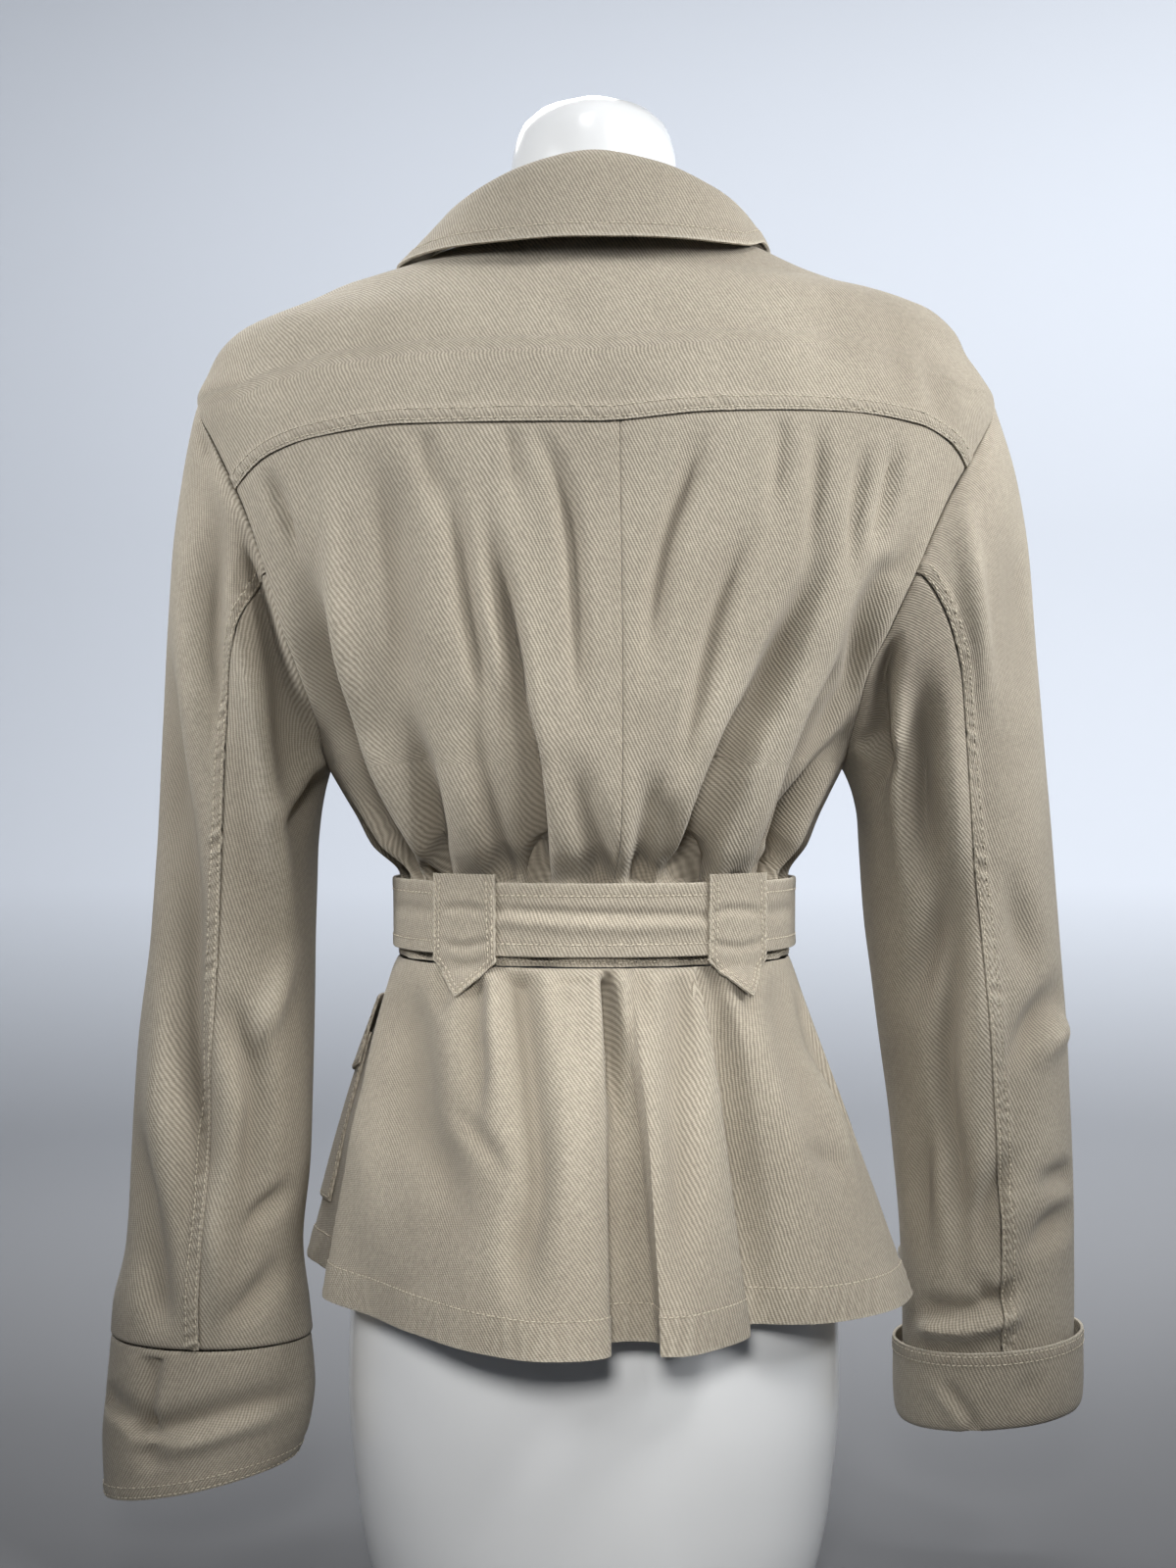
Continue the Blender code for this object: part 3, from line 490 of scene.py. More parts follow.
def neck_angle(height: Array, rim: float) -> Array:
    """Angle of the front neck seam at a height.

    Args:
        height: Heights.
        rim: Height at which the seam meets the shoulder.

    Returns:
        Angles of the seam.
    """
    share = np.clip((rim - height) / (rim - NECK_PIT), 0.0, 1.0)
    slope = SHOULDER_SEAM_AT_NECK - NECK_GAP_ANGLE + (180 - SHOULDER_SEAM_AT_NECK) * share ** (1 / 1.5)
    return np.where(height <= NECK_PIT, 180.0, slope)


def armhole_loop(side: Side, turn: Array) -> Array:
    """Points of the armhole edge: 0 at the shoulder, 90 at the back, 180 under the arm.

    Args:
        side: Which side of the jacket.
        turn: Angles round the opening or tube.

    Returns:
        The points.
    """
    middle = (UNDERARM + SHOULDER_TIP) / 2
    height = middle + (SHOULDER_TIP - UNDERARM) / 2 * np.cos(np.radians(turn))
    inside = np.clip(height, UNDERARM + 0.001, SHOULDER_TIP - 0.001)
    behind = armhole_edge(inside, ARMHOLE_BACK_REACH, False)
    before = armhole_edge(inside, ARMHOLE_FRONT_REACH, True)
    edge = np.where(np.sin(np.radians(turn)) < 0, before, behind)
    return body(side.sign * edge, height) + np.array((side.sign * ARMHOLE_GAP, 0, 0))


def tube_section(table: Table, side: Side, turn: Array, station: Array) -> Array:
    """Points round slanted sections given by their outer and inner lines.

    Args:
        table: Outer and inner lines, middle and depth by station.
        side: Which side of the jacket.
        turn: Angles round the opening or tube.
        station: Stations along the piece.

    Returns:
        The points.
    """
    outer_x, inner_x = table.read("outer_x", station), table.read("inner_x", station)
    outer_z, inner_z = table.read("outer_z", station), table.read("inner_z", station)
    cosine, sine = np.cos(np.radians(turn)), np.sin(np.radians(turn))
    x = side.sign * ((outer_x + inner_x) / 2 + (outer_x - inner_x) / 2 * cosine)
    y = table.read("middle", station) - table.read("depth", station) * sine
    z = (outer_z + inner_z) / 2 + (outer_z - inner_z) / 2 * cosine
    return np.stack(np.broadcast_arrays(x, y, z), axis=-1)


def peplum(station: Array, drop: Array) -> Array:
    """Points of the skirt part over the station along the cloth and the share of the drop to the hem.

    Args:
        station: Stations along the piece.
        drop: Share of the drop, 0 at the waist and 1 at the hem.

    Returns:
        The points.
    """
    waist_angle = PEPLUM.read("waist_angle", station)
    fallen = np.maximum(drop, 0.0)
    angle = lerp(waist_angle, PEPLUM.read("hem_angle", station), fallen**0.8)
    waist_out = body_reach(waist_angle, np.full_like(waist_angle, WAIST_SEAM))
    reach = lerp(waist_out, PEPLUM.read("hem_out", station), fallen ** PEPLUM.read("flare", station))
    return polar(angle, reach, lerp(WAIST_SEAM - SEAM, HEM, drop))


def peplum_reach(angle: Array, height: Array) -> Array:
    """How far the outermost cloth of the skirt part stands out near some angles at some heights.

    Args:
        angle: Angles round the axis.
        height: Heights.

    Returns:
        Distances from the axis.
    """
    drop = (WAIST_SEAM - SEAM - height) / (WAIST_SEAM - SEAM - HEM)
    stations = np.linspace(0, PEPLUM_END, int(PEPLUM_END * 6) + 1)
    grid = [np.ravel(part) for part in np.broadcast_arrays(angle, drop)]
    places = peplum(stations[None, :], grid[1][:, None])
    here = np.degrees(np.arctan2(places[..., 0], -places[..., 1]))
    near = np.abs(wrapped(here - grid[0][:, None])) < 4
    reach = np.where(near, np.hypot(places[..., 0], places[..., 1]), 0.0).max(axis=1)
    return reach.reshape(np.broadcast(angle, drop).shape)


def waist(angle: Array, height: Array, lift: Array) -> Array:
    """Points off the waist by a lift, for the strap of the belt.

    Args:
        angle: Angles round the axis.
        height: Heights.
        lift: Distances outwards from the waist.

    Returns:
        The points.
    """

    def at(turn: Array) -> Array:
        """Points of the waist ring on the ground."""
        return polar(turn, body_reach(turn, np.full_like(turn, WAIST_RING)), np.zeros_like(turn))

    angle, height, lift = (np.asarray(part, float) for part in np.broadcast_arrays(angle, height, lift))
    out = unit(np.cross(at(angle + 0.2) - at(angle - 0.2), np.array((0.0, 0.0, 1.0))))
    point = at(angle) + out * lift[..., None]
    point[..., 2] += height
    return point


def clear_of_form(points: Array) -> Array:
    """Points moved out where they would come too near the form.

    Args:
        points: The points.

    Returns:
        The points, clear of the form.
    """
    angle = np.degrees(np.arctan2(points[..., 0], -points[..., 1]))
    side, back, front = (FORM.read(name, points[..., 2]) for name in ("side", "back", "front"))
    square = BODY.read("squareness", points[..., 2])
    least = ring_reach(angle, side, back, front, square) + FORM_CLEAR
    reach = np.hypot(points[..., 0], points[..., 1])
    grown = np.where(reach < least, least / np.maximum(reach, 1e-6), 1.0)
    return points * np.stack([grown, grown, np.ones_like(grown)], axis=-1)


def on_view(points: Array, hidden: bool) -> Array:
    """Where points stand on the grid of the back view, or of the same view taken from the front.

    Args:
        points: Points in millimetres.
        hidden: True for the view from the front.

    Returns:
        Pairs across and down.
    """
    away = points[..., 1] * (-1 if hidden else 1) - EYE[1]
    across = VIEW_MIDDLE[0] + VIEW_FOCUS * (points[..., 0] - EYE[0]) / away
    down = VIEW_MIDDLE[1] - VIEW_FOCUS * (points[..., 2] - EYE[2]) / away
    return np.stack([across, down + (HIDDEN_DROP if hidden else 0.0)], axis=-1)


@dataclass(frozen=True)
class Crease:
    """A soft trough (negative depth) or ridge along a line on the grid of the back view."""

    path: tuple[Span, ...]
    start: float
    end: float
    width: float
    skew: float = 0.0
    fade_in: float = 0.5
    fade_out: float = 0.5

    def _line(self) -> Array:
        """The path as a smooth line of short steps.

        Returns:
            The points.
        """
        given = np.array(self.path, float)
        ends = np.vstack([2 * given[0] - given[1], given, 2 * given[-1] - given[-2]])
        t = np.linspace(0, 1, 7)[:-1, None]
        steps = []
        for a, b, c, d in zip(ends, ends[1:], ends[2:], ends[3:]):
            curve = 2 * b + (c - a) * t + (2 * a - 5 * b + 4 * c - d) * t**2 + (3 * b - a - 3 * c + d) * t**3
            steps.append(curve / 2)
        return np.vstack([*steps, given[-1:]])

    def height(self, places: Array, scale: float) -> Array:
        """How far the crease moves the cloth at places on the view.

        Args:
            places: Pairs across and down.
            scale: Millimetres for one step of the view's grid.

        Returns:
            Millimetres outwards for each place.
        """
        line = self._line()
        run = run_of(line)
        best = np.full(places.shape[:-1], np.inf)
        signed = np.zeros_like(best)
        share = np.zeros_like(best)
        for k in range(len(line) - 1):
            step = line[k + 1] - line[k]
            off = places - line[k]
            t = np.clip((off @ step) / (step @ step), 0, 1)
            rest = off - t[..., None] * step
            gap = np.hypot(rest[..., 0], rest[..., 1])
            side = np.sign(step[0] * off[..., 1] - step[1] * off[..., 0])
            nearer = gap < best
            best = np.where(nearer, gap, best)
            signed = np.where(nearer, gap * side, signed)
            share = np.where(nearer, (run[k] + t * (run[k + 1] - run[k])) / run[-1], share)
        wide = self.width * np.where(signed > 0, 1 + self.skew, 1 - self.skew)
        fade = smooth(share / max(self.fade_in, 1e-3)) * smooth((1 - share) / max(self.fade_out, 1e-3))
        across = signed * scale / wide
        shape = 1.25 * np.exp(-(across**2)) - 0.25 * np.exp(-((across / 2.4) ** 2))
        return lerp(self.start, self.end, share) * fade * shape


@dataclass(frozen=True)
class SeamFinish:
    """How one edge of a panel is sewn: a doubled band, rows of stitches, a rolled edge and puckers."""

    edge: Edge
    rows: tuple[float, ...] = ()
    band: float = 0.0
    lift: float = 0.0
    roll: float = 0.9
    bite: float = 0.4
    pucker: float = 0.0
    # Positive lightens the edge as wear; negative darkens it as painted shade where it lies under a lap or in
    # a seam
    wear_and_shade: float = 0.5
    trim: Span = (1.0, 1.0)


class Ripples:
    """Fine unevenness that runs on from one panel to the next."""

    COUNT = 14
    SHORTEST = 30.0
    LONGEST = 110.0
    HEIGHT = 0.25

    def __init__(self) -> None:
        """Draws the directions, lengths and places of the ripples once."""
        rng = np.random.default_rng(11)
        self.turns = unit(rng.normal(size=(self.COUNT, 3)) * np.array((1.0, 1.0, 0.45)))
        self.lengths = np.exp(rng.uniform(math.log(self.SHORTEST), math.log(self.LONGEST), self.COUNT))
        self.starts = rng.uniform(0, 2 * math.pi, self.COUNT)

    def height(self, points: Array) -> Array:
        """Millimetres outwards at points.

        Args:
            points: The points.

        Returns:
            Heights in millimetres.
        """
        total = np.zeros(points.shape[:-1])
        for turn, length, start in zip(self.turns, self.lengths, self.starts):
            total += np.sin(2 * math.pi * (points @ turn) / length + start) * (length / self.LONGEST) ** 0.5
        return self.HEIGHT * total / math.sqrt(self.COUNT / 2)


RIPPLES = Ripples()
CREASE_SCALE = 0.53
CREASE_GAIN = 1.4
# Crease depth painted into the cloth's colour as shade in the troughs and faint light on the ridges: the
# depth in millimetres for a full step, then the least and most that it gives
FOLD_SHADE = 26.0
FOLD_SHADE_ENDS = (-0.55, 0.15)
FORM_CLEAR = 3.0
STILL_REACH = 9.0
RIM_SHARE = 0.35
RIM_ANGLE = 65.0


def puckered(along: Array, off: Array) -> Array:
    """Irregular puckers along a sewn band, from -1 to 1.

    Args:
        along: Distances along the seam.
        off: Distances from the edge.

    Returns:
        Heights of the puckers.
    """
    drift = along + 0.5 * off
    phase = 2 * math.pi * drift / 6.4 + 1.6 * np.sin(drift / 6.1) + 1.1 * np.sin(drift / 3.7 + 1.0)
    return np.sin(phase) * (0.65 + 0.35 * np.sin(drift / 11.0 + 0.6))


def spaced(
    length: float, step: float, near: Sequence[float] = (), fine: float = 1.1, reach: float = 12.0,
) -> Array:
    """Shares from 0 to 1 along a length, closer together near some places.

    Args:
        length: The whole length in millimetres.
        step: The usual distance between places.
        near: Places in millimetres that need short steps around them.
        fine: The short step.
        reach: How far from those places the short steps go.

    Returns:
        Rising shares that start at 0 and end at 1.
    """
    places = [0.0]
    while places[-1] < length:
        here = places[-1]
        gap = min((abs(here - place) for place in near), default=length)
        places.append(here + (fine if gap < reach else step))
    found = np.array(places)
    return found / found[-1]


@dataclass
class Panel:
    """One cut piece of cloth, laid out as a grid of points."""

    node: str
    surface: Surface
    columns: Array
    rows: Array
    hold: Hold = Hold.HUNG
    seams: tuple[SeamFinish, ...] = ()
    creases: tuple[Crease, ...] = ()
    wall: float = CLOTH
    closed: bool = False
    grain: int = 1
    rests_on: tuple[str, ...] = ("form",)
    still: tuple[Edge, ...] = ()
    gain: float = CREASE_GAIN
    squared: Edge = Edge.BOTTOM
    straight: float = 0.5
    points: Array = field(init=False)
    normals: Array = field(init=False)
    across: Array = field(init=False)
    up: Array = field(init=False)
    cut: Array = field(init=False)
    wear_and_shade: Array = field(init=False)

    def __post_init__(self) -> None:
        """Lays the cloth: first its form, then its creases and sewn edges."""
        u, v = np.meshgrid(self.columns, self.rows)
        self.points = self.surface(u, v)
        self._measure()
        middle = self.across[:, round(self.straight * (len(self.columns) - 1))][:, None]
        level = self.up if self.squared is Edge.BOTTOM else -self.off(Edge.TOP)
        self.cut = np.stack([(self.across - middle) * self.grain, level], axis=-1) * MM
        relief = self._crease_relief() + RIPPLES.height(self.points)
        for edge in self.still:
            relief *= smooth(self.off(edge) / STILL_REACH)
        sewn, wear_and_shade = self._sewn_relief()
        # Crease troughs are painted darker as shade and crease ridges a little lighter as light, added to the
        # sewn edges' wear and painted shade
        self.wear_and_shade = np.clip(wear_and_shade + np.clip(relief / FOLD_SHADE, *FOLD_SHADE_ENDS), -1, 1)
        self.points = clear_of_form(self.points + self.normals * (relief + sewn)[..., None])
        self._measure()

    def _measure(self) -> None:
        """Distances along the grid and the outward direction at each point."""
        p = self.points
        rows = np.linalg.norm(np.diff(p, axis=1), axis=2)
        columns = np.linalg.norm(np.diff(p, axis=0), axis=2)
        self.across = np.concatenate([np.zeros((p.shape[0], 1)), np.cumsum(rows, axis=1)], axis=1)
        self.up = np.concatenate([np.zeros((1, p.shape[1])), np.cumsum(columns, axis=0)], axis=0)
        if self.closed:
            ring = np.concatenate([p[:, -2:-1], p, p[:, 1:2]], axis=1)
            along = (ring[:, 2:] - ring[:, :-2]) / 2
        else:
            along = np.gradient(p, axis=1)
        self.normals = unit(np.cross(along, np.gradient(p, axis=0)))

    def off(self, edge: Edge) -> Array:
        """Distance of each point from an edge along the cloth.

        Args:
            edge: The edge.

        Returns:
            Distances in millimetres.
        """
        if edge is Edge.LEFT:
            return self.across
        if edge is Edge.RIGHT:
            return self.across[:, -1:] - self.across
        if edge is Edge.BOTTOM:
            return self.up
        return self.up[-1:] - self.up

    def run(self, edge: Edge) -> Array:
        """Distance of each point along an edge."""
        return self.up if edge in (Edge.LEFT, Edge.RIGHT) else self.across

    def _crease_relief(self) -> Array:
        """The creases as millimetres outwards, with a fainter set on the side that faces away.

        Returns:
            Millimetres outwards at each point.
        """
        total = np.zeros(self.points.shape[:-1])
        if not self.creases:
            return total
        sight = unit(np.array(EYE) - self.points)
        facing = (self.normals * sight).sum(axis=-1)
        for hidden, share in ((False, 1.0), (True, HIDDEN_SHARE)):
            weight = smooth(((-facing if hidden else facing) - 0.04) / 0.3) * share
            if weight.max() < 0.02:
                continue
            places = on_view(self.points, hidden)
            total += weight * self.gain * sum(crease.height(places, CREASE_SCALE) for crease in self.creases)
        return total

    def _sewn_relief(self) -> tuple[Array, Array]:
        """The sewn edges as millimetres outwards, and how far each point's colour is lightened as wear or
        darkened as painted shade.

        Returns:
            Millimetres outwards, and wear and painted shade from -1 to 1.
        """
        height = np.zeros(self.points.shape[:-1])
        wear_and_shade = np.zeros_like(height)
        for seam in self.seams:
            off, run = self.off(seam.edge), self.run(seam.edge)
            band = 1 - smooth((off - seam.band + 0.7) / 1.8) if seam.band else np.zeros_like(off)
            ripple = puckered(run, off)
            height += seam.lift * band - seam.roll * np.exp(-((off / 0.9) ** 2))
            inside = smooth(off / 1.5) * band
            height += seam.pucker * ripple * inside
            # Pucker crests lighten as wear and pucker hollows darken as painted shade; the edge takes its
            # seam's wear or painted shade
            wear_and_shade += 0.55 * seam.pucker * ripple * inside + seam.wear_and_shade * np.exp(-((off / 1.3) ** 2))
            for row in seam.rows:
                trough = np.exp(-(((off - row) / 1.2) ** 2))
                height -= seam.bite * trough
                # Painted shade: each stitch trough is darkened
                wear_and_shade -= 0.22 * trough
        return height, wear_and_shade

    def row_of(self, edge: Edge, inset: float, trim: Span) -> tuple[Array, Array]:
        """The line that a row of stitches follows.

        Args:
            edge: The edge that the row runs beside.
            inset: Distance of the row from that edge.
            trim: Lengths left out at the start and at the end.

        Returns:
            Points and outward directions along the row.
        """
        off = self.off(edge)
        upright = edge in (Edge.LEFT, Edge.RIGHT)
        lines = range(off.shape[0] if upright else off.shape[1])
        points, normals = [], []
        for k in lines:
            depth = off[k] if upright else off[:, k]
            place = self.points[k] if upright else self.points[:, k]
            out = self.normals[k] if upright else self.normals[:, k]
            order = np.argsort(depth)
            points.append([np.interp(inset, depth[order], place[order, a]) for a in range(3)])
            normals.append([np.interp(inset, depth[order], out[order, a]) for a in range(3)])
        points, normals = np.array(points), unit(np.array(normals))
        run = run_of(points)
        keep = (run >= trim[0]) & (run <= run[-1] - trim[1])
        return points[keep], normals[keep]

    def sewn_rows(self) -> list[tuple[Array, Array]]:
        """Every row of stitches along the panel's edges.

        Returns:
            Points and outward directions of each row.
        """
        found = []
        for seam in self.seams:
            found += [self.row_of(seam.edge, row, seam.trim) for row in seam.rows]
        return found

    def make(self, finish: Material, slot: str) -> Piece:
        """The finished piece of cloth as a thin closed shell.

        Args:
            finish: The material.
            slot: The record's material slot.

        Returns:
            The piece, riding on the body and standing for its node.
        """
        flat = self.points.reshape(-1, 3) * MM
        mesh, order = grid_mesh(flat, len(self.columns) - 1, len(self.rows) - 1)
        data = bpy.data.meshes.new(f"cloth_{self.node}")
        mesh.to_mesh(data)
        mesh.free()
        corner = np.zeros(len(data.loops), np.int32)
        data.loops.foreach_get("vertex_index", corner)
        layer = data.uv_layers.new(name="cut")
        layer.data.foreach_set("uv", self.cut.reshape(-1, 2)[order][corner].astype(np.float32).ravel())
        # The cloth's wear and painted shade pass to the material as a point attribute
        wear_and_shade = data.attributes.new("wear_and_shade", "FLOAT", "POINT")
        wear_and_shade.data.foreach_set("value", self.wear_and_shade.reshape(-1)[order].astype(np.float32))
        if self.closed:
            mesh = bmesh.new()
            mesh.from_mesh(data)
            bmesh.ops.remove_doubles(mesh, verts=mesh.verts, dist=2e-5)
            mesh.to_mesh(data)
            mesh.free()
        piece = linked(f"cloth_{self.node}", data)
        thicken(piece, self.wall)
        piece.data.materials.append(finish)
        settle(piece, slot, self.node)
        LOG.info("%s: %d faces", piece.name, len(piece.data.polygons))
        return piece

    def declare(self, piece: Piece, sewing: Sequence[Piece]) -> None:
        """Does nothing.

        Args:
            piece: The finished cloth; not used.
            sewing: The stitches that go with it; not used.
        """


def linked(name: str, data: bpy.types.ID) -> Piece:
    """A new object in the scene that holds some data.

    Args:
        name: Name of the object.
        data: Its mesh, camera or light.

    Returns:
        The object.
    """
    made = bpy.data.objects.new(name, data)
    bpy.context.scene.collection.objects.link(made)
    return made


def grid_mesh(points: Array, wide: int, tall: int) -> tuple[bmesh.types.BMesh, Array]:
    """A grid of faces through rows of points.

    Args:
        points: The points row by row, in metres.
        wide: Number of faces across.
        tall: Number of faces up.

    Returns:
        The mesh, and for each of its corners the number of its point.
    """
    mesh = bmesh.new()
    bmesh.ops.create_grid(mesh, x_segments=wide, y_segments=tall, size=1.0)
    order = np.zeros(len(mesh.verts), int)
    for k, vert in enumerate(mesh.verts):
        order[k] = round((vert.co.y + 1) / 2 * tall) * (wide + 1) + round((vert.co.x + 1) / 2 * wide)
        vert.co = points[order[k]]
    return mesh, order


def turned(section: Sequence[Span], steps: int) -> bmesh.types.BMesh:
    """A skin made by turning a half section round the upright axis.

    Args:
        section: Pairs of distance from the axis and height, in metres.
        steps: Number of steps in the full turn.

    Returns:
        The mesh with its faces outwards.
    """
    mesh = bmesh.new()
    verts = [mesh.verts.new((out, 0.0, height)) for out, height in section]
    edges = [mesh.edges.new(pair) for pair in zip(verts, verts[1:])]
    bmesh.ops.spin(
        mesh, geom=[*verts, *edges], cent=(0, 0, 0), axis=(0, 0, 1), dvec=(0, 0, 0), angle=2 * math.pi,
        steps=steps, use_merge=True, use_duplicate=False,
    )
    bmesh.ops.remove_doubles(mesh, verts=mesh.verts, dist=1e-6)
    bmesh.ops.recalc_face_normals(mesh, faces=mesh.faces)
    return mesh


def thicken(piece: Piece, wall: float) -> None:
    """Gives a sheet its wall on the inner side and a soft rim, and keeps the result as its mesh.

    Args:
        piece: The piece.
        wall: Thickness of the wall.
    """
    layer = piece.modifiers.new("wall", "SOLIDIFY")
    layer.thickness = wall * MM
    layer.offset = -1.0
    layer.use_even_offset = False
    rim = piece.modifiers.new("rim", "BEVEL")
    rim.width = RIM_SHARE * wall * MM
    rim.segments = 2
    rim.limit_method = "ANGLE"
    rim.angle_limit = math.radians(RIM_ANGLE)
    graph = bpy.context.evaluated_depsgraph_get()
    made = bpy.data.meshes.new_from_object(piece.evaluated_get(graph))
    plain = piece.data
    piece.modifiers.clear()
    piece.data = made
    bpy.data.meshes.remove(plain)
    made.name = piece.name
    made.shade_smooth()


def settle(piece: Piece, slot: str, *nodes: str) -> Piece:
    """Lets a piece ride on the body and hides the model's parts for the nodes that it stands for.

    Args:
        piece: The piece.
        slot: Name of its finish slot; not used.
        nodes: The nodes that it stands for.

    Returns:
        The same piece.
    """
    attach(piece, "root")
    if nodes:
        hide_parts(*nodes)
    return piece


@dataclass(frozen=True)
class Thread:
    """Sewing thread: each stitch is a short slim bead that lies on the cloth."""

    pitch: float = 3.2
    length: float = 2.5
    thick: float = 0.8
    slant: float = 5.0
    slant_spread: float = 3.0
    raised: float = 0.12
    uneven: float = 0.05

    def sew(self, name: str, rows: Sequence[tuple[Array, Array]], finish: Material) -> Piece:
        """Rows of stitches as one piece.

        Args:
            name: Name of the piece.
            rows: Points and outward directions along each row.
            finish: The thread's material.

        Returns:
            The piece of stitches.
        """
        bead = self._bead()
        mesh = bmesh.new()
        rng = np.random.default_rng(len(name) * 31 + len(rows))
        frames = []
        for points, normals in rows:
            if len(points) < 2:
                continue
            run = run_of(points)
            count = int(run[-1] / self.pitch)
            for at in (np.arange(count) + 0.5) * self.pitch:
                steps = (0.0, self.pitch / 2, -self.pitch / 2)
                here, ahead, behind = (
                    np.array([np.interp(at + step, run, points[:, a]) for a in range(3)]) for step in steps
                )
                out = unit(np.array([np.interp(at, run, normals[:, a]) for a in range(3)]))
                along = unit(ahead - behind)
                turn = math.radians(self.slant + rng.normal() * self.slant_spread)
                along = unit(along * math.cos(turn) + np.cross(out, along) * math.sin(turn))
                frames.append((here + out * self.raised, along, out, 1 + rng.normal() * self.uneven))
                mesh.from_mesh(bead)
        mesh.verts.ensure_lookup_table()
        each = len(bead.vertices)
        shape = np.array([vert.co for vert in bead.vertices])
        for k, (here, along, out, stretch) in enumerate(frames):
            beside = np.cross(out, along)
            places = (
                here
                + shape[:, :1] * along * self.length / 2 * stretch
                + shape[:, 1:2] * beside * self.thick / 2
                + shape[:, 2:] * out * self.thick / 2
            ) * MM
            for a in range(each):
                mesh.verts[k * each + a].co = places[a]
        data = bpy.data.meshes.new(name)
        mesh.to_mesh(data)
        mesh.free()
        bpy.data.meshes.remove(bead)
        data.shade_smooth()
        data.materials.append(finish)
        piece = linked(name, data)
        LOG.info("%s: %d stitches", name, len(frames))
        return settle(piece, "twill")

    @staticmethod
    def _bead() -> bpy.types.Mesh:
        """The shape of one stitch, lying along X.

        Returns:
            The mesh.
        """
        mesh = bmesh.new()
        turn = Matrix.Rotation(math.pi / 2, 4, "Y")
        bmesh.ops.create_uvsphere(mesh, u_segments=6, v_segments=4, radius=1.0, matrix=turn)
        data = bpy.data.meshes.new("bead")
        mesh.to_mesh(data)
        mesh.free()
        return data


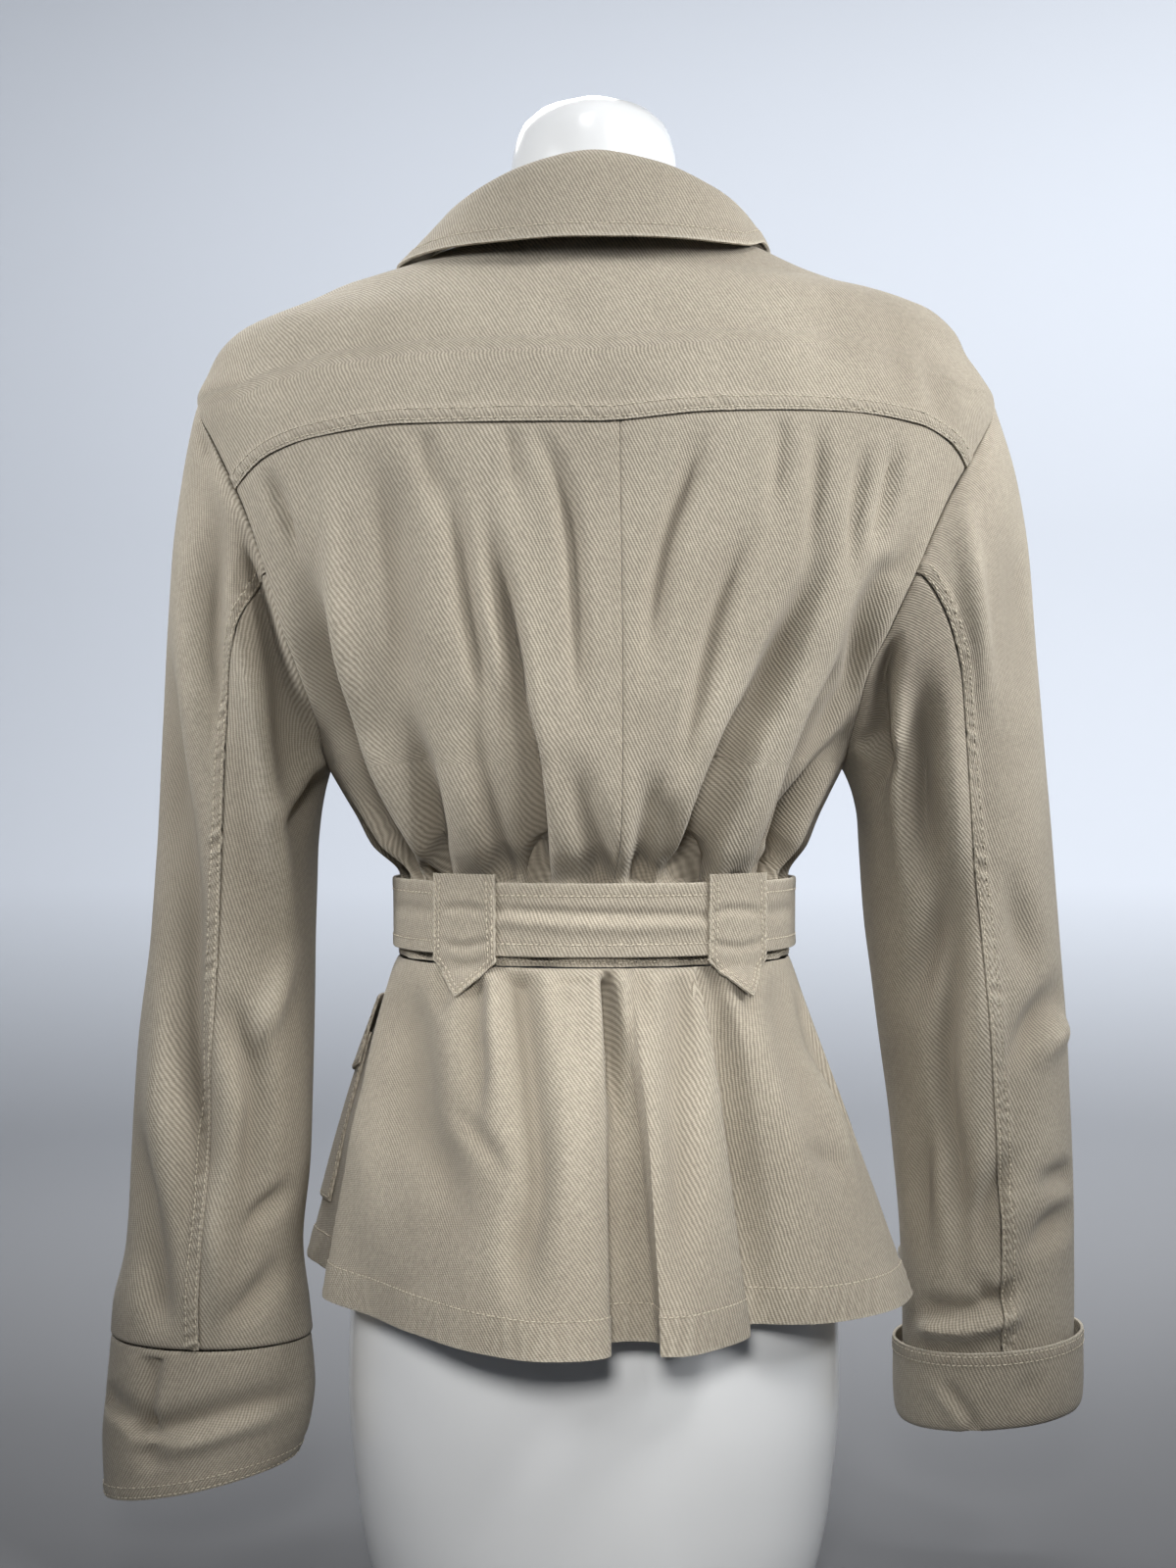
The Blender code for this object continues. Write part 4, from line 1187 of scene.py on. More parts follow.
class NodeGroups:
    """Shader groups that several finishes share."""

    TWILL_SLOPE = 63.0
    RIB_SHARE = 0.36
    BEAD_SHARE = 0.14
    WAVER = 5.0
    WAVER_SCALE = 130.0

    @staticmethod
    def _new(
        name: str, inputs: Sequence[tuple[str, str, float | None]], outputs: Sequence[tuple[str, str]],
    ) -> tuple[Tree, Node, Node]:
        """An empty shader group with named sockets.

        Args:
            name: Name of the group.
            inputs: Name, socket type and default of each input.
            outputs: Name and socket type of each output.

        Returns:
            The group with its input and output nodes.
        """
        group = bpy.data.node_groups.new(name, "ShaderNodeTree")
        for label, kind, value in inputs:
            socket = group.interface.new_socket(label, in_out="INPUT", socket_type=kind)
            if value is not None:
                socket.default_value = value
        for label, kind in outputs:
            group.interface.new_socket(label, in_out="OUTPUT", socket_type=kind)
        return group, group.nodes.new("NodeGroupInput"), group.nodes.new("NodeGroupOutput")

    @staticmethod
    def math(
        group: Tree, operation: str, first: Socket | float, second: Socket | float | None = None,
        clamp: bool = False,
    ) -> Socket:
        """The result of a math node fed by sockets or numbers.

        Args:
            group: The tree that the node stands in.
            operation: The node's operation.
            first: First value or its socket.
            second: Second value or its socket, where the operation has one.
            clamp: True to keep the result between 0 and 1.

        Returns:
            The result's socket.
        """
        node = group.nodes.new("ShaderNodeMath")
        node.operation = operation
        node.use_clamp = clamp
        for socket, value in zip(node.inputs, (first, second)):
            if value is None:
                continue
            if isinstance(value, (int, float)):
                socket.default_value = value
            else:
                group.links.new(value, socket)
        return node.outputs[0]

    @classmethod
    def weave(cls) -> Tree:
        """Slanted twill ribs with a beaded weft, by the cloth's own flat coordinates in metres.

        Returns:
            The group.
        """
        found = bpy.data.node_groups.get("twill_weave")
        if found:
            return found
        group, inlet, outlet = cls._new(
            "twill_weave",
            [
                ("Cut", "NodeSocketVector", None), ("Rib", "NodeSocketFloat", 0.0015),
                ("Bead", "NodeSocketFloat", 0.0011),
            ],
            [("Tone", "NodeSocketFloat"), ("Height", "NodeSocketFloat")],
        )
        noise = group.nodes.new("ShaderNodeTexNoise")
        noise.inputs["Scale"].default_value = cls.WAVER_SCALE
        noise.inputs["Detail"].default_value = 2.0
        group.links.new(inlet.outputs["Cut"], noise.inputs["Vector"])
        waver = cls.math(
            group, "MULTIPLY", cls.math(group, "SUBTRACT", noise.outputs["Fac"], 0.5), cls.WAVER,
        )

        def line(direction: Span, length: Socket) -> Socket:
            """The phase along a direction, one turn for each length.

            Args:
                direction: Way across the flat cloth.
                length: Length of one turn.

            Returns:
                Socket of the phase.
            """
            dot = group.nodes.new("ShaderNodeVectorMath")
            dot.operation = "DOT_PRODUCT"
            dot.inputs[1].default_value = (direction[0], direction[1], 0.0)
            group.links.new(inlet.outputs["Cut"], dot.inputs[0])
            turns = cls.math(group, "DIVIDE", dot.outputs["Value"], length)
            return cls.math(group, "MULTIPLY", turns, 2 * math.pi)

        slope = math.radians(cls.TWILL_SLOPE)
        ribs = line((math.sin(slope), math.cos(slope)), inlet.outputs["Rib"])
        beads = line((-math.cos(slope), math.sin(slope)), inlet.outputs["Bead"])
        rib = cls.math(group, "SINE", cls.math(group, "ADD", ribs, waver))
        offset = cls.math(group, "ADD", beads, cls.math(group, "MULTIPLY", ribs, 0.5))
        bead = cls.math(group, "SINE", cls.math(group, "ADD", offset, waver))
        ridge = cls.math(group, "MULTIPLY", rib, cls.RIB_SHARE)
        both = cls.math(group, "ADD", ridge, cls.math(group, "MULTIPLY", bead, cls.BEAD_SHARE))
        height = cls.math(group, "ADD", both, 0.5)
        group.links.new(height, outlet.inputs["Height"])
        group.links.new(height, outlet.inputs["Tone"])
        return group

    @classmethod
    def mottle(cls) -> Tree:
        """Broad and fine unevenness of a washed or handled surface, by place on the object.

        Returns:
            The group.
        """
        found = bpy.data.node_groups.get("mottle")
        if found:
            return found
        group, inlet, outlet = cls._new(
            "mottle",
            [
                ("Vector", "NodeSocketVector", None), ("Broad", "NodeSocketFloat", 9.0),
                ("Fine", "NodeSocketFloat", 240.0),
            ],
            [("Broad", "NodeSocketFloat"), ("Fine", "NodeSocketFloat")],
        )
        for label, detail in (("Broad", 4.0), ("Fine", 3.0)):
            noise = group.nodes.new("ShaderNodeTexNoise")
            noise.inputs["Detail"].default_value = detail
            group.links.new(inlet.outputs["Vector"], noise.inputs["Vector"])
            group.links.new(inlet.outputs[label], noise.inputs["Scale"])
            group.links.new(noise.outputs["Fac"], outlet.inputs[label])
        return group


def shader_of(name: str) -> tuple[Material, Tree, Node]:
    """A new node material, its tree and its Principled shader.

    Args:
        name: Name of the material.

    Returns:
        The material, its node tree and the shader node.
    """
    made = bpy.data.materials.new(name)
    made.use_nodes = True
    return made, made.node_tree, made.node_tree.nodes["Principled BSDF"]


def placed(tree: Tree, group: Tree, **values: float) -> Node:
    """A group placed in a tree, with its own values.

    Args:
        tree: The material's node tree.
        group: The shared group.
        values: Values for the group's inputs by name.

    Returns:
        The node that holds the group.
    """
    node = tree.nodes.new("ShaderNodeGroup")
    node.node_tree = group
    for label, value in values.items():
        node.inputs[label].default_value = value
    return node


def mottled(tree: Tree, broad: float, fine: float) -> Node:
    """The mottle group placed in a tree and read by place on the object.

    Args:
        tree: The material's node tree.
        broad: Scale of the broad unevenness.
        fine: Scale of the fine unevenness.

    Returns:
        The node that holds the group.
    """
    place = tree.nodes.new("ShaderNodeTexCoord")
    node = placed(tree, NodeGroups.mottle(), Broad=broad, Fine=fine)
    tree.links.new(place.outputs["Object"], node.inputs["Vector"])
    return node


def bumped(tree: Tree, shader: Node, height: Socket, strength: float, distance: float) -> None:
    """Lets a height raise a shader's surface.

    Args:
        tree: The material's node tree.
        shader: The shader node.
        height: Socket of the height.
        strength: Strength of the bump.
        distance: Its depth in metres.
    """
    bump = tree.nodes.new("ShaderNodeBump")
    bump.inputs["Strength"].default_value = strength
    bump.inputs["Distance"].default_value = distance
    tree.links.new(height, bump.inputs["Height"])
    tree.links.new(bump.outputs["Normal"], shader.inputs["Normal"])


def grey(value: float) -> Colour:
    """A grey of one value."""
    return (value, value, value)


def ramped(tree: Tree, factor: Socket, low: Colour, high: Colour, span: Span = (0.0, 1.0)) -> Socket:
    """A colour that goes from low to high as a factor goes over a span.

    Args:
        tree: The material's node tree.
        factor: The socket that drives the colour.
        low: Colour at the start of the span.
        high: Colour at the end of the span.
        span: First and last value of the factor.

    Returns:
        The colour's socket.
    """
    ramp = tree.nodes.new("ShaderNodeValToRGB")
    ramp.color_ramp.elements[0].position, ramp.color_ramp.elements[1].position = span
    ramp.color_ramp.elements[0].color = (*low, 1.0)
    ramp.color_ramp.elements[1].color = (*high, 1.0)
    tree.links.new(factor, ramp.inputs["Fac"])
    return ramp.outputs["Color"]


def mixed(tree: Tree, blend: str, first: Socket, second: Socket | Colour, factor: Socket | float) -> Socket:
    """Two colours mixed.

    Args:
        tree: The material's node tree.
        blend: The way of mixing.
        first: Socket of the first colour.
        second: The second colour, or its socket.
        factor: The share of the second colour, or its socket.

    Returns:
        The mixed colour's socket.
    """
    node = tree.nodes.new("ShaderNodeMix")
    node.data_type = "RGBA"
    node.blend_type = blend
    tree.links.new(first, node.inputs["A"])
    if isinstance(second, tuple):
        node.inputs["B"].default_value = (*second, 1.0)
    else:
        tree.links.new(second, node.inputs["B"])
    if isinstance(factor, (int, float)):
        node.inputs["Factor"].default_value = factor
    else:
        tree.links.new(factor, node.inputs["Factor"])
    return node.outputs["Result"]


MOTTLE_SPAN = (0.3, 0.7)


@dataclass(frozen=True)
class TwillFinish:
    """Washed cotton twill: ribs, a soft fade and rubbed seams, with painted shade in creases, stitch troughs
    and under laps, and faint painted light on crease ridges.
    """

    name: str = "khaki_twill"
    dark: Colour = (0.246, 0.214, 0.165)
    light: Colour = (0.492, 0.441, 0.354)
    # Paler colour for wear and for the faint painted light on crease ridges
    faded_and_lit: Colour = (0.62, 0.565, 0.46)
    # Darker colour for the painted shade in creases, stitch troughs and under laps
    deep: Colour = (0.19, 0.162, 0.122)
    rib: float = 0.0018
    mottle: Span = (11.0, 420.0)
    wash: tuple[Colour, Colour] = ((0.86, 0.85, 0.84), (1.08, 1.08, 1.08))
    fuzz: tuple[Colour, Colour] = ((0.88, 0.88, 0.88), (1.1, 1.1, 1.1))
    fade_and_light: float = 1.5
    shading: float = 1.9
    rough: Span = (0.8, 0.95)
    shine: float = 0.25
    sheen: float = 0.12
    nap: float = 0.6
    relief: float = 0.55
    depth: float = 0.0005

    def build(self) -> Material:
        """The cloth's material.

        Returns:
            The material.
        """
        made, tree, shader = shader_of(self.name)
        cut = tree.nodes.new("ShaderNodeUVMap")
        cut.uv_map = "cut"
        weave = placed(tree, NodeGroups.weave(), Rib=self.rib)
        tree.links.new(cut.outputs["UV"], weave.inputs["Cut"])
        mottle = mottled(tree, *self.mottle)
        colour = ramped(tree, weave.outputs["Tone"], self.dark, self.light, (0.05, 0.95))
        wash = ramped(tree, mottle.outputs["Broad"], *self.wash, MOTTLE_SPAN)
        colour = mixed(tree, "MULTIPLY", colour, wash, 1.0)
        fuzz = ramped(tree, mottle.outputs["Fine"], *self.fuzz, MOTTLE_SPAN)
        colour = mixed(tree, "MULTIPLY", colour, fuzz, 1.0)
        # Painted light and shade: the point attribute's positive part lightens the colour as wear and as
        # light on crease ridges, and its negative part darkens it as shade
        wear_and_shade = tree.nodes.new("ShaderNodeAttribute")
        wear_and_shade.attribute_name = "wear_and_shade"
        uneven = NodeGroups.math(tree, "MULTIPLY", wear_and_shade.outputs["Fac"], mottle.outputs["Fine"])
        fade = NodeGroups.math(tree, "MULTIPLY", uneven, self.fade_and_light, clamp=True)
        shade = NodeGroups.math(tree, "MULTIPLY", uneven, -self.shading, clamp=True)
        colour = mixed(tree, "MIX", colour, self.faded_and_lit, fade)
        colour = mixed(tree, "MIX", colour, self.deep, shade)
        tree.links.new(colour, shader.inputs["Base Color"])
        rough = ramped(tree, mottle.outputs["Fine"], *map(grey, self.rough))
        tree.links.new(rough, shader.inputs["Roughness"])
        shader.inputs["Specular IOR Level"].default_value = self.shine
        shader.inputs["Sheen Weight"].default_value = self.sheen
        shader.inputs["Sheen Roughness"].default_value = self.nap
        bumped(tree, shader, weave.outputs["Height"], self.relief, self.depth)
        return made


@dataclass(frozen=True)
class ThreadFinish:
    """Cotton sewing thread a little paler than the cloth."""

    name: str = "khaki_thread"
    dark: Colour = (0.44, 0.385, 0.295)
    light: Colour = (0.66, 0.60, 0.48)
    mottle: Span = (60.0, 1500.0)
    rough: float = 0.75
    relief: float = 0.4
    depth: float = 0.0002

    def build(self) -> Material:
        """The thread's material.

        Returns:
            The material.
        """
        made, tree, shader = shader_of(self.name)
        mottle = mottled(tree, *self.mottle)
        colour = ramped(tree, mottle.outputs["Fine"], self.dark, self.light, MOTTLE_SPAN)
        tree.links.new(colour, shader.inputs["Base Color"])
        shader.inputs["Roughness"].default_value = self.rough
        bumped(tree, shader, mottle.outputs["Fine"], self.relief, self.depth)
        return made


@dataclass(frozen=True)
class MouldedFinish:
    """Moulded plastic with faint unevenness: the form, the buttons and the buckle."""

    name: str
    dark: Colour
    light: Colour
    rough: Span
    coat: float
    mottle: Span
    dents: float
    coat_rough: float = 0.08
    relief: float = 0.15

    def build(self) -> Material:
        """The plastic's material.

        Returns:
            The material.
        """
        made, tree, shader = shader_of(self.name)
        mottle = mottled(tree, *self.mottle)
        colour = ramped(tree, mottle.outputs["Broad"], self.dark, self.light, MOTTLE_SPAN)
        tree.links.new(colour, shader.inputs["Base Color"])
        rough = ramped(tree, mottle.outputs["Fine"], *map(grey, self.rough), MOTTLE_SPAN)
        tree.links.new(rough, shader.inputs["Roughness"])
        shader.inputs["Coat Weight"].default_value = self.coat
        shader.inputs["Coat Roughness"].default_value = self.coat_rough
        bumped(tree, shader, mottle.outputs["Broad"], self.relief, self.dents)
        return made


@dataclass
class Finishes:
    """Every material, built once."""

    twill: Material
    thread: Material
    form: Material
    button: Material
    buckle: Material

    @classmethod
    def build(cls) -> Finishes:
        """All finishes of the part.

        Returns:
            The finishes.
        """
        form = MouldedFinish(
            "form_gloss", (0.80, 0.81, 0.82), (0.86, 0.87, 0.87), (0.16, 0.26), 0.5, (5.0, 60.0), 0.0004,
        )
        button = MouldedFinish(
            "button_plastic", (0.20, 0.165, 0.115), (0.34, 0.29, 0.215), (0.36, 0.5), 0.1, (90.0, 700.0),
            0.0002,
        )
        buckle = MouldedFinish(
            "buckle_plastic", (0.25, 0.215, 0.155), (0.36, 0.315, 0.24), (0.34, 0.48), 0.1, (60.0, 500.0),
            0.0002,
        )
        return cls(
            TwillFinish().build(), ThreadFinish().build(), form.build(), button.build(), buckle.build(),
        )


# Creases as a line on the view's grid, depth at its start and end, width, skew and the shares it fades over
TO_BELT = (0.4, 0.02)
EVEN = (0.0, 0.35, 0.45)
BACK_CREASES = (
    Crease(
        (
            (283, 520), (291, 542), (315, 610), (332, 667), (352, 721), (369, 772), (393, 833), (413, 873),
            (425, 905),
        ),
        *(-2.0, -8.0, 9.0, 0.35, *TO_BELT),
    ),
    Crease(
        (
            (325, 440), (332, 495), (339, 549), (345, 616), (356, 684), (369, 738), (384, 782), (400, 839),
            (430, 905),
        ),
        *(1.5, 3.5, 7.0, 0.0, *TO_BELT),
    ),
    Crease(((268, 470), (275, 488), (288, 525), (305, 580)), -2.1, -2.1, 3.9, *EVEN),
    Crease(
        ((372, 440), (379, 468), (396, 522), (406, 610), (410, 694), (418, 770)), -2.5, -2.5, 10.4, *EVEN,
    ),
    Crease(
        ((450, 455), (460, 501), (477, 616), (487, 670), (492, 738), (500, 800)), -2.2, -2.2, 5.9, *EVEN,
    ),
    Crease(
        ((486, 470), (494, 511), (511, 589), (523, 670), (528, 721), (538, 772), (545, 833), (550, 905)),
        *(-1.5, -8.0, 7.0, 0.3, *TO_BELT),
    ),
    Crease(
        ((480, 540), (491, 589), (508, 664), (523, 725), (535, 799), (541, 866), (543, 905)),
        *(1.0, 3.0, 6.0, 0.0, *TO_BELT),
    ),
    Crease(
        ((540, 415), (548, 437), (569, 481), (582, 542), (587, 610), (591, 704), (592, 780)), -2.2, -1.7,
        5.2, *EVEN,
    ),
    Crease(((408, 700), (427, 772), (440, 839), (449, 905)), -1.0, -6.0, 6.0, 0.0, *TO_BELT),
    Crease(((470, 690), (484, 738), (504, 839), (517, 905)), -1.0, -4.0, 8.0, 0.0, *TO_BELT),
    Crease(((588, 760), (596, 823), (609, 873), (613, 905)), -1.0, -3.0, 8.0, 0.0, *TO_BELT),
    Crease(((430, 425), (440, 480), (452, 540)), -1.2, -1.0, 5.2, *EVEN),
    Crease(((520, 412), (524, 470), (530, 530)), -1.0, -0.8, 4.5, *EVEN),
    Crease(
        ((726, 420), (717, 444), (701, 491), (683, 542), (673, 589), (666, 643), (662, 720)), -2.5, -1.7,
        5.9, *EVEN,
    ),
    Crease(
        ((775, 515), (759, 556), (742, 596), (728, 643), (715, 704), (701, 772), (692, 830)), -2.2, -2.2,
        5.9, *EVEN,
    ),
    Crease(
        (
            (862, 500), (850, 535), (833, 583), (816, 623), (796, 670), (776, 718), (756, 758), (722, 846),
            (703, 905),
        ),
        *(-1.5, -9.0, 8.0, 0.0, *TO_BELT),
    ),
    Crease(((800, 690), (789, 711), (759, 782), (735, 829), (716, 905)), 1.0, 3.6, 7.0, 0.0, *TO_BELT),
    Crease(
        (
            (952, 501), (925, 569), (904, 589), (891, 616), (881, 650), (870, 687), (843, 741), (816, 812),
            (781, 905),
        ),
        *(-2.0, -7.0, 8.0, 0.0, *TO_BELT),
    ),
    Crease(((885, 615), (877, 637), (867, 691), (850, 725), (828, 778), (800, 850)), 2.0, 2.0, 3.9, *EVEN),
    Crease(((890, 705), (881, 725), (837, 799), (803, 863), (790, 905)), -2.0, -4.0, 4.0, 0.0, *TO_BELT),
    Crease(((860, 735), (823, 802), (793, 873), (783, 905)), 1.6, 2.2, 4.0, 0.0, *TO_BELT),
    Crease(((884, 440), (881, 468), (874, 515), (870, 562), (866, 610)), -1.7, -1.4, 4.2, *EVEN),
    Crease(((918, 440), (914, 461), (906, 500), (897, 535), (888, 570)), -1.7, -1.4, 3.9, *EVEN),
    Crease(((840, 415), (837, 434), (834, 490), (830, 542), (822, 600)), -1.5, -1.2, 4.9, *EVEN),
    Crease(((800, 412), (796, 470), (786, 540)), -1.2, -1.0, 5.2, *EVEN),
    Crease(((668, 770), (664, 823), (657, 883), (655, 905)), -1.0, -4.0, 7.0, 0.0, *TO_BELT),
    Crease(((690, 800), (684, 850), (680, 905)), -1.0, -3.0, 6.0, 0.0, *TO_BELT),
)

YOKE_CREASES = (
    Crease(((304, 320), (300, 352), (296, 392), (300, 440)), -1.2, -1.6, 9.0),
    Crease(((396, 300), (392, 330), (384, 368), (378, 420)), -0.9, -1.0, 11.0),
    Crease(((898, 290), (905, 320), (914, 360), (921, 404), (926, 440)), -1.2, -1.8, 8.0),
    Crease(((840, 290), (846, 318), (851, 360), (850, 410)), -0.9, -1.1, 10.0),
    Crease(((565, 265), (575, 285), (588, 318), (594, 352), (598, 390)), -0.8, -0.9, 11.0),
    Crease(((940, 340), (948, 372), (956, 404), (962, 450)), -1.5, -2.2, 7.0),
)

LEFT_SLEEVE_CREASES = (
    Crease(
        ((208, 455), (210, 501), (216, 538), (212, 597), (212, 658), (219, 716), (226, 780)), -4.0, -4.0,
        8.0,
    ),
    Crease(((190, 500), (191, 581), (195, 660), (197, 734), (191, 826), (186, 900)), 2.6, 2.6, 9.0),
    Crease(
        (
            (165, 620), (170, 716), (179, 842), (188, 933), (189, 1016), (193, 1086), (204, 1165),
            (199, 1218), (182, 1330),
        ),
        *(-4.5, -4.5, 10.0, 0.0, 0.3, 0.3),
    ),
    Crease(((176, 960), (170, 1066), (166, 1132), (165, 1199), (168, 1290)), 2.6, 2.6, 9.0),
    Crease(
        ((140, 1130), (146, 1199), (154, 1265), (161, 1331), (165, 1370)), -3.0, -3.0, 8.0, 0.0, 0.4, 0.2,
    ),
    Crease(
        ((245, 505), (255, 551), (274, 649), (292, 716), (290, 765), (283, 830)), -5.5, -5.5, 12.0, 0.0,
        0.3, 0.5,
    ),
    Crease(
        ((232, 560), (243, 636), (265, 734), (274, 826), (286, 903), (292, 979), (292, 1040)), 2.6, 2.6,
        8.0,
    ),
    Crease(((345, 745), (332, 765), (301, 814), (280, 832), (262, 845)), 2.6, 2.0, 6.0, 0.0, 0.3, 0.5),
    Crease(((340, 775), (326, 792), (306, 828), (286, 850)), -3.5, -2.8, 6.0, 0.0, 0.3, 0.5),
    Crease(((300, 950), (289, 986), (276, 1026), (262, 1066), (250, 1100)), 2.4, 2.4, 7.0),
    Crease(
        (
            (228, 1000), (238, 1030), (246, 1053), (256, 1086), (262, 1130), (258, 1165), (255, 1232),
            (258, 1290),
        ),
        *(-3.2, -3.0, 8.0, 0.0, 0.3, 0.5),
    ),
    Crease(((302, 1200), (292, 1212), (262, 1245), (245, 1265)), -2.4, -2.0, 5.0),
    Crease(((210, 1180), (216, 1245), (221, 1302), (216, 1350), (212, 1380)), 2.0, 2.0, 8.0),
    Crease(((300, 1270), (286, 1288), (262, 1322), (236, 1345), (215, 1355)), -2.4, -2.0, 7.0),
    Crease(((222, 412), (216, 440), (212, 480)), -2.2, -2.2, 6.0),
)

RIGHT_SLEEVE_CREASES = (
    Crease(((980, 480), (984, 511), (991, 569), (996, 621), (1005, 690), (1012, 760)), 2.4, 2.0, 6.0),
    Crease(((908, 640), (912, 690), (917, 759), (920, 828), (922, 897), (924, 960)), 2.6, 2.6, 5.5),
    Crease(((945, 660), (941, 724), (937, 793), (943, 862), (948, 930)), -4.2, -4.2, 8.5),
    Crease(((966, 660), (970, 724), (974, 810), (980, 879), (985, 950)), 2.0, 2.0, 8.0),
    Crease(
        ((905, 630), (903, 666), (898, 707), (898, 752), (905, 776), (898, 800), (890, 830)),
        *(-5.5, -5.0, 6.0, 0.0, 0.2, 0.4),
    ),
    Crease(((878, 745), (886, 755), (894, 762)), -3.0, -3.0, 4.0),
    Crease(((962, 870), (960, 913), (950, 963), (938, 1009), (930, 1060)), -3.6, -3.6, 8.5),
    Crease(((982, 880), (986, 930), (996, 996), (999, 1062), (996, 1129), (994, 1190)), 2.4, 2.4, 12.0),
    Crease(
        (
            (980, 850), (979, 906), (973, 1013), (966, 1079), (969, 1145), (976, 1195), (979, 1278),
            (980, 1340),
        ),
        *(-3.0, -3.0, 7.5, 0.0, 0.3, 0.3),
    ),
    Crease(((1040, 1160), (1029, 1185), (1009, 1228), (1003, 1261), (1001, 1300)), -3.0, -2.8, 8.0),
    Crease(((990, 1300), (999, 1311), (1016, 1328), (1036, 1308), (1045, 1295)), -2.2, -2.2, 5.0),
    Crease(
        ((930, 1352), (946, 1354), (991, 1355), (1031, 1342), (1056, 1330)), 3.0, 2.6, 6.0, 0.0, 0.2, 0.4,
    ),
    Crease(((930, 1330), (944, 1334), (990, 1338), (1040, 1320)), -2.0, -2.0, 6.0, 0.0, 0.2, 0.4),
    Crease(((1096, 985), (1082, 1006), (1056, 1046), (1039, 1079), (1030, 1105)), -3.0, -2.6, 8.0),
    Crease(((1105, 1015), (1096, 1030), (1072, 1066), (1052, 1094)), 2.0, 1.8, 7.0),
    Crease(((1110, 1185), (1102, 1192), (1076, 1205), (1055, 1220)), -2.4, -2.0, 7.0),
    Crease(((1105, 1218), (1099, 1228), (1066, 1261), (1050, 1290)), -3.0, -2.6, 7.5),
    Crease(((1030, 870), (1036, 913), (1042, 950), (1049, 989), (1052, 1020)), -2.0, -2.0, 8.0),
    Crease(
        ((1018, 480), (1025, 518), (1034, 560), (1042, 604), (1050, 680), (1056, 760)), -2.0, -2.0, 11.0,
    ),
    Crease(((947, 1110), (943, 1160), (938, 1212), (944, 1262), (950, 1310)), -2.8, -2.8, 7.0),
    Crease(((1060, 560), (1070, 660), (1078, 760), (1082, 860)), 1.6, 1.6, 12.0),
)

LEFT_CUFF_CREASES = (
    Crease(((160, 1385), (152, 1436), (148, 1468)), -3.0, -4.0, 5.0, 0.3, 0.05, 0.1),
    Crease(((100, 1420), (128, 1446), (148, 1465)), -3.0, -4.0, 6.0, -0.4, 0.1, 0.05),
    Crease(
        ((146, 1466), (194, 1455), (242, 1440), (290, 1427), (325, 1417)), -4.4, -2.4, 6.5, -0.4, 0.05, 0.3,
    ),
    Crease(((150, 1474), (156, 1490), (160, 1506)), -2.6, -2.2, 7.0, 0.0, 0.2, 0.4),
    Crease(((160, 1480), (205, 1471), (252, 1456), (305, 1438)), 2.0, 1.6, 5.0, 0.0, 0.2, 0.4),
)

RIGHT_CUFF_CREASES = (
    Crease(((948, 1405), (956, 1418), (982, 1449), (990, 1462)), 1.6, 1.6, 4.0, 0.0, 0.3, 0.2),
    Crease(((960, 1408), (966, 1418), (990, 1452), (996, 1464)), -2.4, -2.4, 4.5, 0.0, 0.3, 0.2),
    Crease(((1056, 1392), (1052, 1410), (1046, 1448)), -1.4, -1.6, 7.0),
)

BELT_CREASES = (
    Crease(((490, 926), (506, 928), (560, 931), (620, 933), (740, 935)), -1.0, -1.0, 3.0, 0.0, 0.1, 0.1),
    Crease(((490, 938), (600, 946), (730, 945)), 0.9, 0.9, 4.0, 0.0, 0.1, 0.1),
    Crease(((370, 916), (410, 926), (445, 930)), -1.0, -1.0, 4.0, 0.0, 0.2, 0.1),
    Crease(((780, 932), (826, 924), (850, 916)), -1.0, -1.0, 4.0, 0.0, 0.1, 0.2),
)

TAB_CREASES = (
    Crease(((446, 930), (470, 926), (500, 931)), -1.2, -1.2, 2.6, 0.0, 0.3, 0.3),
    Crease(((446, 961), (474, 966), (504, 958)), -1.1, -1.1, 2.4, 0.0, 0.3, 0.3),
    Crease(((458, 982), (478, 985), (496, 978)), -0.9, -0.9, 2.4, 0.0, 0.3, 0.3),
    Crease(((722, 934), (752, 928), (784, 932)), -1.2, -1.2, 2.6, 0.0, 0.3, 0.3),
    Crease(((722, 962), (754, 967), (784, 960)), -1.1, -1.1, 2.4, 0.0, 0.3, 0.3),
)

